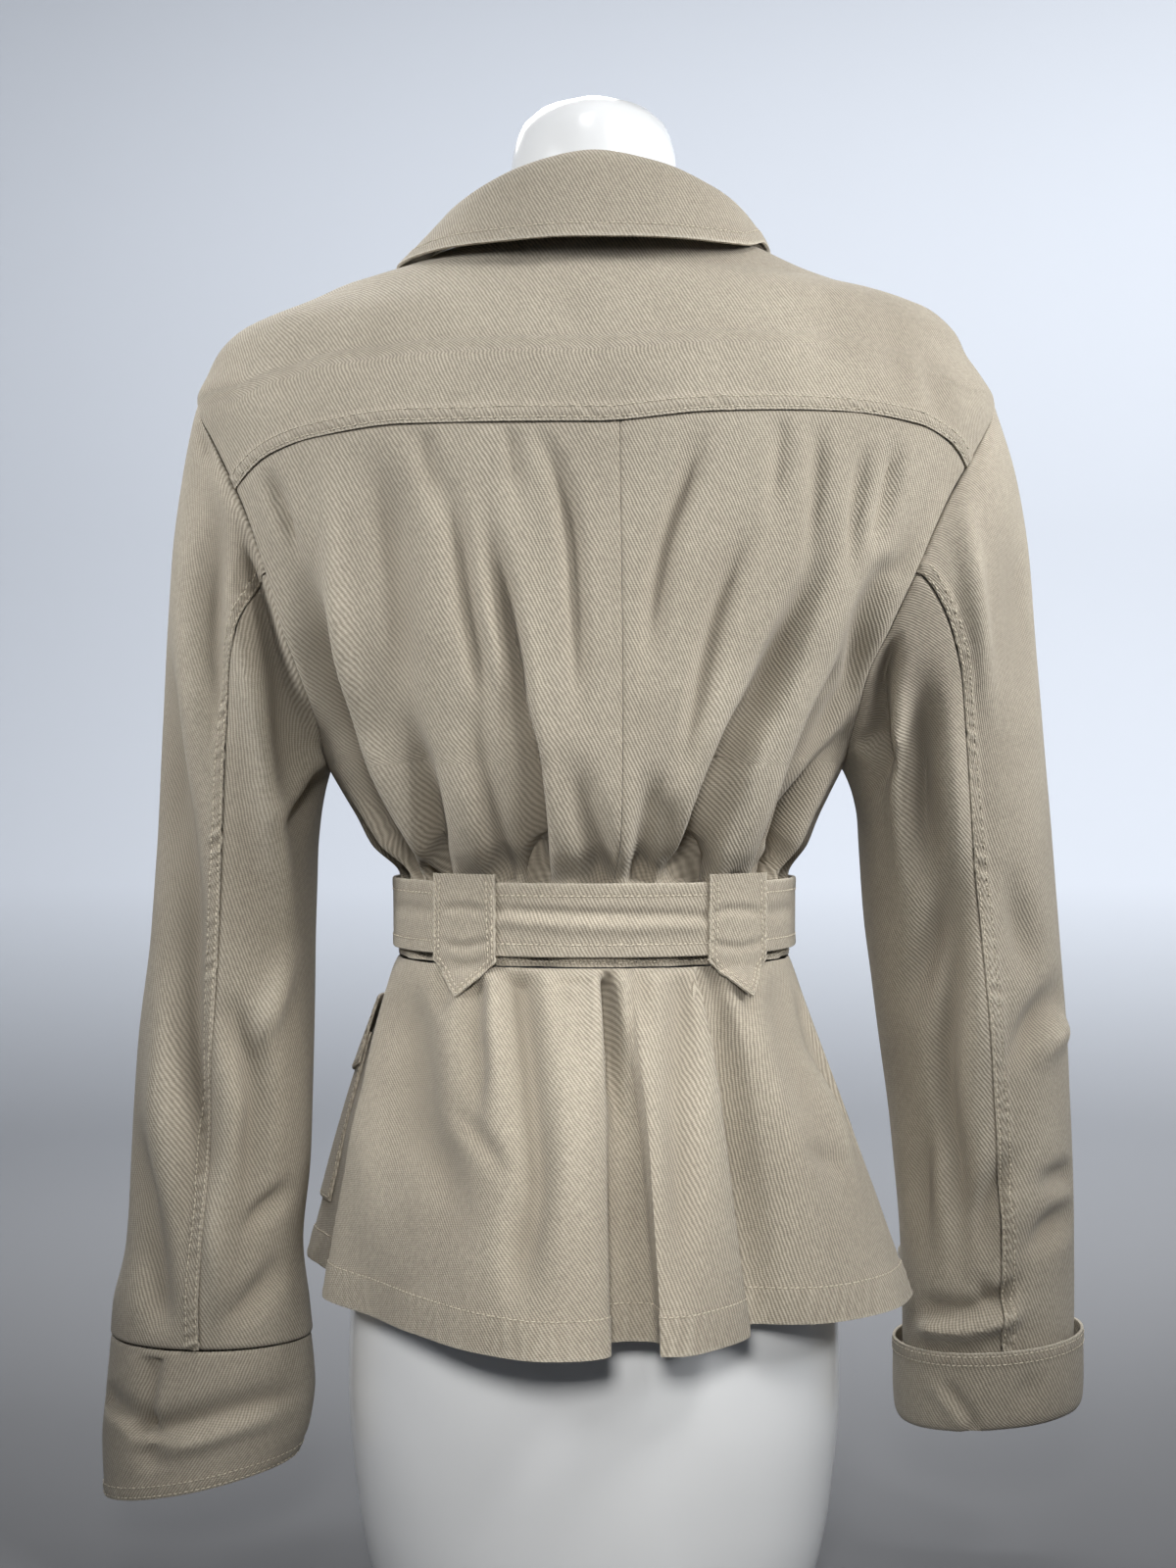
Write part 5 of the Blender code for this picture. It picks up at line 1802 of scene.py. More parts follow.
FROM_WAIST = (0.05, 0.6)
PEPLUM_CREASES = (
    Crease(
        ((488, 990), (484, 1045), (489, 1088), (487, 1128), (484, 1180)), -3.6, -3.0, 8.0, 0.0, 0.1, 0.5,
    ),
    Crease(((503, 990), (500, 1030), (501, 1079), (500, 1122), (502, 1180)), 2.0, 1.6, 7.0, 0.0, 0.1, 0.5),
    Crease(
        ((412, 985), (415, 1022), (423, 1079), (429, 1151), (455, 1203), (485, 1290)), -3.6, -3.6, 13.0,
        0.0, 0.2, 0.5,
    ),
    Crease(((455, 1115), (466, 1134), (495, 1168), (512, 1194), (522, 1215)), -2.0, -2.0, 5.0),
    Crease(
        (
            (527, 980), (529, 1007), (538, 1088), (544, 1151), (547, 1208), (541, 1266), (541, 1323),
            (540, 1370),
        ),
        *(-5.0, -3.0, 9.0, 0.0, 0.03, 0.3),
    ),
    Crease(((533, 1215), (529, 1251), (524, 1317), (522, 1350)), -2.0, -2.0, 7.0),
    Crease(((565, 1005), (585, 1002), (606, 1002)), -1.0, -1.0, 3.0),
    Crease(
        ((697, 980), (696, 1030), (693, 1122), (696, 1194), (698, 1266), (699, 1309), (700, 1350)),
        *(-3.2, -3.2, 9.0, 0.0, 0.1, 0.4),
    ),
    Crease(
        ((785, 985), (791, 1007), (808, 1079), (822, 1130), (835, 1190)), -1.8, -1.8, 10.0, 0.0, 0.2, 0.5,
    ),
    Crease(
        ((813, 985), (825, 1036), (837, 1073), (871, 1137), (894, 1188), (912, 1230)), -3.0, -6.0, 5.5, 0.0,
        0.2, 0.4,
    ),
    Crease(((806, 985), (826, 1058), (856, 1151), (870, 1197), (884, 1240)), 1.2, 2.2, 5.0, 0.0, 0.2, 0.4),
    Crease(((619, 980), (623, 1040), (626, 1100), (632, 1180)), -6.5, -4.0, 3.6, 0.0, 0.01, 0.6),
    Crease(((607, 985), (609, 1060), (610, 1120)), 1.2, 1.0, 5.0, 0.0, 0.05, 0.5),
    Crease(((634, 985), (644, 1060), (655, 1140)), 1.4, 1.0, 5.0, 0.0, 0.05, 0.5),
    Crease(((815, 1165), (828, 1174), (846, 1184), (860, 1191), (875, 1200)), -1.3, -1.3, 6.0),
    Crease(((366, 1080), (372, 1150), (380, 1210), (384, 1270), (386, 1330)), 2.0, 2.0, 13.0),
    Crease(((592, 1000), (588, 1100), (585, 1200), (590, 1330)), 1.4, 1.8, 14.0),
    Crease(((455, 980), (453, 1010), (450, 1050)), -2.2, -1.6, 5.0, 0.0, *FROM_WAIST),
    Crease(((575, 984), (573, 1010), (572, 1045)), -1.4, -1.0, 5.0, 0.0, *FROM_WAIST),
    Crease(((652, 984), (656, 1020), (662, 1060)), -1.8, -1.2, 5.0, 0.0, *FROM_WAIST),
    Crease(((756, 984), (764, 1020), (774, 1065)), -2.0, -1.4, 6.0, 0.0, *FROM_WAIST),
)


def laid_out(line: Callable[[Array], Array], ends: Span, step: float, hem: float = 0.0) -> Array:
    """Places along a line that are evenly spaced, and closer near both ends.

    Args:
        line: Gives points for places along the line.
        ends: First and last place.
        step: The usual distance between places.
        hem: How far from either end the places stand closer.

    Returns:
        The places from the first to the last.
    """
    fine = np.linspace(ends[0], ends[1], 1500)
    run = run_of(line(fine))
    near = (0.0, run[-1]) if hem else ()
    return np.interp(spaced(run[-1], step, near, reach=hem) * run[-1], run, fine)


def panel_grid(surface: Surface, u: Span, v: Span, step: float, hems: Span) -> tuple[Array, Array]:
    """Even columns and rows for a panel, measured along its middle lines.

    Args:
        surface: The panel's surface.
        u: First and last place across.
        v: First and last place up.
        step: The usual distance between points.
        hems: How far from the side edges and from the top and bottom edges the points stand closer.

    Returns:
        Columns and rows.
    """
    half_u, half_v = sum(u) / 2, sum(v) / 2
    columns = laid_out(lambda at: surface(at, np.full_like(at, half_v)), u, step, hems[0])
    rows = laid_out(lambda at: surface(np.full_like(at, half_u), at), v, step, hems[1])
    return columns, rows


@dataclass
class Garment:
    """Panels of one sub-assembly with their sewing."""

    panels: list[Panel] = field(default_factory=list)
    step: float = 2.4

    def lay(self, node: str, surface: Surface, u: Span, v: Span, hems: Span, **details: object) -> Panel:
        """Lays one panel and keeps it.

        Args:
            node: The node that the panel stands for.
            surface: Its form.
            u: First and last place across, to the right as seen from outside.
            v: First and last place up.
            hems: How far from the edges the points stand closer.
            details: The panel's other fields.

        Returns:
            The panel.
        """
        columns, rows = panel_grid(surface, u, v, details.pop("step", self.step), hems)
        panel = Panel(node, surface, columns, rows, **details)
        self.panels.append(panel)
        return panel

    def dress(self, finishes: Finishes, thread: Thread) -> list[Piece]:
        """Makes the cloth and the sewing of every panel.

        Args:
            finishes: The materials.
            thread: The sewing thread.

        Returns:
            The pieces made.
        """
        made = []
        for panel in self.panels:
            cloth = panel.make(finishes.twill, "twill")
            rows = panel.sewn_rows()
            sewing = [thread.sew(f"stitches_{panel.node}", rows, finishes.thread)] if rows else []
            panel.declare(cloth, sewing)
            made += [cloth, *sewing]
        return made


@dataclass
class Bodice(Garment):
    """Two backs, two fronts and the yoke."""

    yoke_lap: float = 0.7
    yoke_gap: float = 0.8
    gain: float = 3.0
    front_step: float = 4.2

    def back(self, side: Side) -> Surface:
        """One back over u from its outer edge to centre back and v from waist to yoke.

        Args:
            side: Which side of the jacket.

        Returns:
            The surface.
        """
        corner = YOKE_LEFT_CORNER if side is Side.LEFT else YOKE_RIGHT_CORNER

        def point(u: Array, v: Array) -> Array:
            """Points of the panel.

            Args:
                u: Places across the panel.
                v: Places up the panel.

            Returns:
                The points.
            """
            level = lerp(WAIST_SEAM + SEAM, corner, v)
            lifted = smooth((level - UNDERARM) / (corner - UNDERARM))

            def raised(angle: Array) -> Array:
                """Heights of the row, which rises to the yoke seam."""
                return level + lifted * (YOKE_SEAM.read("height", angle) - self.yoke_gap - corner)

            edge = side.sign * armhole_edge(level, ARMHOLE_BACK_REACH, False)
            for _ in range(4):
                edge = side.sign * armhole_edge(raised(edge), ARMHOLE_BACK_REACH, False)
            edge = edge - side.sign * seam_angle(70, level)
            middle = CENTRE_BACK + side.sign * 0.3 * seam_angle(0, level)
            angle = lerp(edge, middle, u)
            return bodice(angle, raised(angle))

        return point

    def front(self, side: Side) -> Surface:
        """One front over u from centre front to its outer edge and v from waist to neck.

        Args:
            side: Which side of the jacket.

        Returns:
            The surface.
        """
        rim = NECK_LEFT if side is Side.LEFT else NECK_RIGHT

        def point(u: Array, v: Array) -> Array:
            """Points of the panel.

            Args:
                u: Places across the panel.
                v: Places up the panel.

            Returns:
                The points.
            """
            height = lerp(WAIST_SEAM + SEAM, rim - 2.0, v)
            edge = armhole_edge(height, ARMHOLE_FRONT_REACH, True) + seam_angle(100, height)
            middle = np.minimum(neck_angle(height, rim), 180 - seam_angle(180, height))
            return bodice(side.sign * lerp(middle, edge, u), height)

        return point

    def yoke(self, u: Array, v: Array) -> Array:
        """The yoke over u from left to right and v from the yoke seam to the neck.

        Args:
            u: Places across the panel.
            v: Places up the panel.

        Returns:
            The points.
        """
        left = lerp(YOKE_LEFT_CORNER, NECK_LEFT, v)
        right = lerp(YOKE_RIGHT_CORNER, NECK_RIGHT, v)
        start = -armhole_edge(left, ARMHOLE_BACK_REACH, False) + 2 * seam_angle(-80, left)
        end = armhole_edge(right, ARMHOLE_BACK_REACH, False) - 2 * seam_angle(80, right)
        angle = lerp(start, end, u)
        low = YOKE_SEAM.read("height", angle) - self.yoke_lap
        return body(angle, lerp(low, neck_height(angle) - SEAM, v))

    def build(self) -> None:
        """Lays the panels."""
        for side in Side:
            across = (0.0, 1.0) if side is Side.LEFT else (1.0, 0.0)
            outer, middle = (Edge.LEFT, Edge.RIGHT) if side is Side.LEFT else (Edge.RIGHT, Edge.LEFT)
            seams = (
                SeamFinish(outer, band=5.0, roll=0.8, pucker=0.2, wear_and_shade=0.1),
                # Painted shade: the centre back edge a little darker, and the top edge, tucked under the
                # yoke, much darker
                SeamFinish(middle, band=4.0, roll=0.45, pucker=0.15, wear_and_shade=-0.1),
                SeamFinish(Edge.TOP, roll=0.5, wear_and_shade=-0.7),
                SeamFinish(Edge.BOTTOM, (2.4,), 3.4, 0.4, 0.2, 0.3, 0.3, 0.3),
            )
            self.lay(
                f"back_{side.value}", self.back(side), across, (0.0, 1.0), (6.0, 6.0), straight=across[1],
                seams=seams, creases=BACK_CREASES, gain=self.gain, still=(Edge.TOP, outer),
            )
            self.lay(
                f"front_{side.value}", self.front(side), across, (0.0, 1.0), (6.0, 0.0),
                seams=(
                    SeamFinish(Edge.LEFT, roll=0.5, wear_and_shade=0.0), SeamFinish(Edge.RIGHT, roll=0.5, wear_and_shade=0.0),
                ),
                creases=BACK_CREASES, step=self.front_step,
            )
        seams = (
            SeamFinish(Edge.BOTTOM, (2.0, 8.2), 9.2, 1.1, 0.3, 0.4, 0.45, 0.45, (4.0, 4.0)),
            SeamFinish(Edge.LEFT, band=5.0, roll=0.7, pucker=0.2, wear_and_shade=0.1),
            SeamFinish(Edge.RIGHT, band=5.0, roll=0.7, pucker=0.2, wear_and_shade=0.1),
        )
        self.lay("yoke", self.yoke, (0.0, 1.0), (0.0, 1.0), (6.0, 12.0), seams=seams, creases=YOKE_CREASES)


@dataclass
class Sleeves(Garment):
    """Two-piece sleeves, the hanging left cuff and the turned-back right cuff."""

    back_seam: float = 90.0
    front_seam: float = 235.0
    stations: float = 12.0
    step: float = 2.9
    cuff_step: float = 2.2
    gain: float = 2.8
    lap: float = 0.35
    radius: float = 60.0

    def surface(self, side: Side) -> Surface:
        """One sleeve over the turn round it and the station along it.

        Args:
            side: Which side of the jacket.

        Returns:
            The surface.
        """
        table = SLEEVES[side]

        def point(turn: Array, station: Array) -> Array:
            """Points of the sleeve.

            Args:
                turn: Angles round the opening or tube.
                station: Stations along the piece.

            Returns:
                The points.
            """
            held = table.read("armhole", station)[..., None]
            free = tube_section(table, side, turn, station)
            return lerp(free, armhole_loop(side, turn), np.clip(held, 0, 1))

        return point

    def build(self) -> None:
        """Lays the four sleeve panels and both cuffs."""
        lap = math.degrees(self.lap / self.radius)
        for side in Side:
            top = (self.front_seam - 360 + lap, self.back_seam + lap)
            under = (self.back_seam + lap, self.front_seam - lap)
            behind, before = Edge.RIGHT, Edge.LEFT
            creases = LEFT_SLEEVE_CREASES
            if side is Side.RIGHT:
                top, under = top[::-1], under[::-1]
                behind, before = before, behind
                creases = RIGHT_SLEEVE_CREASES
            sewn = SeamFinish(behind, (1.3, 7.0), 8.2, 1.1, 0.25, 0.4, 0.85, 0.5, (3.0, 2.0))
            armhole = SeamFinish(Edge.TOP, band=5.0, roll=0.8, pucker=0.25, wear_and_shade=0.0)
            # Painted shade: the hem edge is darkened where the cuff meets it
            hem = SeamFinish(Edge.BOTTOM, roll=0.8, wear_and_shade=-0.3)
            plain = SeamFinish(before, roll=0.6, wear_and_shade=0.0)
            self.lay(
                f"sleeve_top_{side.value}", self.surface(side), top, (self.stations, 0.0), (12.0, 5.0),
                seams=(sewn, armhole, hem, plain), creases=creases, gain=self.gain, still=(Edge.TOP,),
                rests_on=(f"back_{side.value}", "yoke"),
            )
            self.lay(
                f"sleeve_under_{side.value}", self.surface(side), under, (self.stations, 0.0), (5.0, 5.0),
                seams=(
                    # Painted shade: the under sleeve's edge at the back seam, under the top sleeve's band, is
                    # darkened
                    SeamFinish(before, roll=1.1, wear_and_shade=-0.4), SeamFinish(behind, roll=0.6, wear_and_shade=0.0),
                    armhole, hem,
                ),
                creases=creases, gain=self.gain, still=(Edge.TOP,),
                rests_on=(f"back_{side.value}", f"front_{side.value}"),
            )
        self.lay(
            "cuff_left", lambda turn, station: tube_section(CUFF_LEFT, Side.LEFT, turn, station),
            (0.0, 360.0), (3.0, 0.0), (0.0, 12.0),
            seams=(
                SeamFinish(Edge.BOTTOM, (1.7, 7.4), 8.4, 0.6, 0.3, 0.35, 0.3, 0.6),
                SeamFinish(Edge.TOP, roll=1.0, wear_and_shade=0.1),
            ),
            creases=LEFT_CUFF_CREASES, closed=True, grain=-1, step=self.cuff_step,
            rests_on=("sleeve_top_left", "sleeve_under_left"),
        )
        self.lay(
            "cuff_right", lambda turn, station: tube_section(CUFF_RIGHT, Side.RIGHT, turn, station),
            (360.0, 0.0), (0.0, 6.0), (0.0, 12.0),
            seams=(SeamFinish(Edge.TOP, (2.1, 7.0), 8.0, 0.5, 0.2, 0.35, 0.3, 0.65),),
            creases=RIGHT_CUFF_CREASES, closed=True, step=self.cuff_step, hold=Hold.FOLDED,
            rests_on=("sleeve_top_right", "sleeve_under_right"),
        )


@dataclass
class Collar(Garment):
    """The folded turn-down collar, cut in one with its stand."""

    end: float = 166.0
    seam: float = 1.8
    step: float = 2.9

    def surface(self, angle: Array, share: Array) -> Array:
        """The collar over the angle and the share of the way from neck seam to free edge.

        Args:
            angle: Angles round the axis.
            share: Shares of the way from the neck seam to the fall's edge.

        Returns:
            The points.
        """
        base_height = neck_height(angle) + self.seam
        base_out = body_reach(angle, neck_height(angle)) - 4.0
        names = ("fold_out", "fold_height", "edge_out", "edge_height")
        fold_out, fold_height, edge_out, edge_height = (COLLAR.read(name, angle) for name in names)
        shares = (0.0, 0.22, 0.42, 0.50, 0.58, 0.80, 1.0)
        outs = (
            base_out, lerp(base_out, fold_out - 2.4, 0.55), fold_out - 2.4, fold_out + 0.8, fold_out + 4.4,
            lerp(fold_out + 4.4, edge_out, 0.5) + 0.8, edge_out,
        )
        heights = (
            base_height, lerp(base_height, fold_height - 4, 0.5), fold_height - 4.5, fold_height,
            fold_height - 3.6, lerp(fold_height - 3.6, edge_height, 0.5), edge_height,
        )
        out, height = np.zeros(angle.shape), np.zeros(angle.shape)
        turns, where = np.unique(angle.reshape(-1), return_inverse=True)
        for k in range(len(turns)):
            mask = (where == k).reshape(angle.shape)
            first = tuple(np.argwhere(mask)[0])
            rows = [(s, o[first], h[first]) for s, o, h in zip(shares, outs, heights)]
            section = Table(("share", "out", "height"), rows)
            out[mask] = section.read("out", share[mask])
            height[mask] = section.read("height", share[mask])
        return polar(angle, out, height)

    def build(self) -> None:
        """Lays the collar."""
        seams = (
            SeamFinish(Edge.BOTTOM, (7.8,), 8.8, 0.4, 0.2, 0.35, 0.25, 0.75, (9.0, 9.0)),
            SeamFinish(Edge.LEFT, (7.8,), 8.8, 0.3, 0.2, 0.35, 0.1, 0.5, (9.0, 60.0)),
            SeamFinish(Edge.RIGHT, (7.8,), 8.8, 0.3, 0.2, 0.35, 0.1, 0.5, (9.0, 60.0)),
        )
        self.lay(
            "collar", self.surface, (-self.end, self.end), (1.0, 0.0), (10.0, 12.0), seams=seams,
            hold=Hold.FOLDED, rests_on=("yoke", "front_left", "front_right"),
        )


@dataclass
class Peplum(Garment):
    """The skirt part: a pleated back, two fronts, patch pockets and flaps."""

    left_seam: float = 6.0
    right_seam: float = 34.0
    gap: float = 0.02
    hem: float = 19.0
    step: float = 2.7
    front_step: float = 3.9
    gain: float = 2.0
    pocket_top: float = 0.26
    pocket_bottom: float = 0.80
    flap_top: float = 0.15
    flap_bottom: float = 0.36
    flap_point: float = 0.43
    pockets: tuple[tuple[Side, float, float], ...] = ((Side.LEFT, 2.25, 4.9), (Side.RIGHT, 35.2, 37.7))

    def build(self) -> None:
        """Lays the skirt panels, pockets and flaps."""
        hem = SeamFinish(Edge.BOTTOM, (self.hem,), self.hem + 0.8, 0.6, 0.3, 0.4, 0.4, 0.5)
        sides = (SeamFinish(Edge.LEFT, roll=0.6, wear_and_shade=0.1), SeamFinish(Edge.RIGHT, roll=0.6, wear_and_shade=0.1))
        spans = (
            ("peplum_front_left", self.gap, self.left_seam - self.gap, self.front_step),
            ("peplum_back", self.left_seam + self.gap, self.right_seam - self.gap, self.step),
            ("peplum_front_right", self.right_seam + self.gap, PEPLUM_END - self.gap, self.front_step),
        )
        for node, start, end, step in spans:
            columns = laid_out(lambda at: peplum(at, np.full_like(at, 0.9)), (start, end), step, 4.0)
            rows = laid_out(lambda at: peplum(np.full_like(at, start + 2), at), (1.0, 0.0), step, 22.0)
            panel = Panel(
                node, peplum, columns, rows, hold=Hold.GATHERED, seams=(hem, *sides),
                creases=PEPLUM_CREASES, gain=self.gain, still=(Edge.TOP,), rests_on=("form", "belt"),
            )
            self.panels.append(panel)
        for side, start, end in self.pockets:
            self._pocket(side, start, end)

    def _pocket(self, side: Side, start: float, end: float) -> None:
        """Lays one patch pocket and its flap.

        Args:
            side: The wearer's side.
            start: First station of the pocket.
            end: Last station of the pocket.
        """
        carrier = f"peplum_front_{side.value}"

        def patch(u: Array, v: Array) -> Array:
            """The pocket on its carrier."""
            return moved_out(peplum, lerp(start, end, u), v, CLOTH + LAY, (0.05, -0.02))

        def flap(u: Array, v: Array) -> Array:
            """The pointed flap over the pocket.

            Args:
                u: Places across the panel.
                v: Places up the panel.

            Returns:
                The points.
            """
            low = lerp(self.flap_bottom, self.flap_point, 1 - np.abs(2 * u - 1))
            station = lerp(start - 0.08, end + 0.08, u)
            drop = lerp(low, self.flap_top, v)
            return moved_out(peplum, station, drop, 2 * CLOTH + 2 * LAY, (0.05, -0.02))

        edges = (Edge.LEFT, Edge.RIGHT, Edge.BOTTOM)
        sewn = tuple(SeamFinish(edge, (2.0,), 4.0, 0.2, 0.4, 0.3, 0.15, 0.4, (2.0, 2.0)) for edge in edges)
        top = SeamFinish(Edge.TOP, (14.0,), 15.0, 0.3, 0.2, 0.3, 0.15, 0.4, (2.0, 2.0))
        self.lay(
            f"pocket_{side.value}", patch, (0.0, 1.0), (self.pocket_bottom, self.pocket_top), (6.0, 6.0),
            seams=(*sewn, top), hold=Hold.LAID, rests_on=(carrier,),
        )
        self.lay(
            f"pocket_flap_{side.value}", flap, (0.0, 1.0), (0.0, 1.0), (6.0, 6.0), seams=sewn,
            squared=Edge.TOP, hold=Hold.LAID, rests_on=(f"pocket_{side.value}",),
        )


@dataclass
class Belt(Garment):
    """The strap, its slide buckle and the two pointed tabs that hold it."""

    start: float = -178.0
    end: float = 222.0
    row: float = 6.9
    step: float = 2.9
    tab_step: float = 1.6
    tabs: tuple[tuple[Side, float], ...] = ((Side.LEFT, -41.0), (Side.RIGHT, 46.0))
    tab_half: float = 19.0
    tab_top: float = 411.0
    tab_corner: float = 364.5
    tab_tip: float = 346.0
    tab_clear: float = 0.6
    buckle_wide: float = 48.0
    buckle_tall: float = 41.6
    buckle_bar: float = 4.0
    buckle_back: float = 95.4
    buckle_deep: float = 2.8

    def strap(self, angle: Array, height: Array) -> Array:
        """The belt's outer face over angle and height."""
        return waist(angle, height, BELT_LIFT.read("lift", angle) + DOUBLE_CLOTH)

    def tab(self, middle: float) -> Surface:
        """One tab over u from side to side and v from tip to top.

        Args:
            middle: Angle of its middle line.

        Returns:
            The surface.
        """
        half = math.degrees(self.tab_half / float(body_reach(np.array(middle), np.array(WAIST_RING))))
        base = float(BELT_LIFT.read("lift", 0)) + DOUBLE_CLOTH + LAY + CLOTH

        def point(u: Array, v: Array) -> Array:
            """Points of the panel.

            Args:
                u: Places across the panel.
                v: Places up the panel.

            Returns:
                The points.
            """
            here = middle + half * u
            height = lerp(lerp(self.tab_tip, self.tab_corner, np.abs(u)), self.tab_top, v)
            under = peplum_reach(here, height) - body_reach(here, np.full_like(here, WAIST_RING))
            low = np.maximum(base, under + LAY + CLOTH + self.tab_clear)
            return waist(here, height, np.where(height < WAIST_SEAM, low, base))

        return point

    def build(self) -> None:
        """Lays the strap and the tabs."""
        edges = (Edge.TOP, Edge.BOTTOM)
        seams = tuple(
            SeamFinish(edge, (self.row,), self.row + 0.8, 0.25, 0.25, 0.35, 0.25, 0.5) for edge in edges
        )
        self.lay(
            "belt", self.strap, (self.start, self.end), (BELT_LOW, BELT_HIGH), (0.0, 20.0), seams=seams,
            creases=BELT_CREASES, wall=DOUBLE_CLOTH, hold=Hold.GATHERED,
            rests_on=("back_left", "back_right", "front_left", "front_right"),
        )
        for side, middle in self.tabs:
            low = SeamFinish(Edge.BOTTOM, (1.9, 5.0), 6.0, 0.3, 0.25, 0.35, 0.2, 0.6, (5.0, 5.0))
            sides = tuple(
                SeamFinish(edge, (1.9, 5.0), 6.0, 0.3, 0.25, 0.35, 0.2, 0.6, (2.0, 1.0))
                for edge in (Edge.LEFT, Edge.RIGHT)
            )
            self.lay(
                f"belt_loop_{side.value}", self.tab(middle), (-1.0, 1.0), (0.0, 1.0), (8.0, 8.0),
                seams=(low, *sides), creases=TAB_CREASES, squared=Edge.TOP, step=self.tab_step,
                hold=Hold.LAID, rests_on=("belt", "peplum_back"),
            )

    def buckle(self, finish: Material) -> Piece:
        """The slide buckle: a plate with two slots and softened edges.

        Args:
            finish: Its material.

        Returns:
            The buckle.
        """
        mesh = bmesh.new()
        wide, tall, bar = self.buckle_wide / 2, self.buckle_tall / 2, self.buckle_bar
        middle = (BELT_LOW + BELT_HIGH) / 2
        frames = ((-wide - bar, wide + bar, tall + bar), (-wide, -bar / 2, tall), (bar / 2, wide, tall))
        edges = []
        for start, end, half in frames:
            corners = ((start, -half), (end, -half), (end, half), (start, half))
            verts = [mesh.verts.new(Vector((x, self.buckle_back, middle + z)) * MM) for x, z in corners]
            edges += [mesh.edges.new((verts[i], verts[(i + 1) % 4])) for i in range(4)]
        bmesh.ops.triangle_fill(mesh, use_beauty=True, use_dissolve=False, edges=edges, normal=(0, 1, 0))
        raised = bmesh.ops.extrude_face_region(mesh, geom=mesh.faces[:], use_keep_orig=True)
        verts = [item for item in raised["geom"] if isinstance(item, bmesh.types.BMVert)]
        bmesh.ops.translate(mesh, vec=(0, self.buckle_deep * MM, 0), verts=verts)
        bmesh.ops.recalc_face_normals(mesh, faces=mesh.faces)
        sharp = [edge for edge in mesh.edges if edge.calc_face_angle(0.0) > 0.5]
        bmesh.ops.bevel(
            mesh, geom=sharp, offset=0.7 * MM, offset_type="OFFSET", affect="EDGES", segments=3,
            profile=0.5, material=-1,
        )
        return plain_piece("buckle", mesh, finish, "buckle", "belt_buckle", math.radians(35))


def plain_piece(
    name: str, mesh: bmesh.types.BMesh, finish: Material, slot: str, node: str, sharp: float,
) -> Piece:
    """A moulded piece from a finished mesh, standing for a node.

    Args:
        name: Name of the piece.
        mesh: Its mesh, which is freed.
        finish: Its material.
        slot: The record's material slot.
        node: The node that it stands for.
        sharp: The angle above which an edge stays sharp.

    Returns:
        The piece.
    """
    data = bpy.data.meshes.new(name)
    mesh.to_mesh(data)
    mesh.free()
    data.shade_smooth()
    data.set_sharp_from_angle(angle=sharp)
    data.materials.append(finish)
    piece = linked(name, data)
    LOG.info("%s: %d faces", name, len(data.polygons))
    return settle(piece, slot, node)


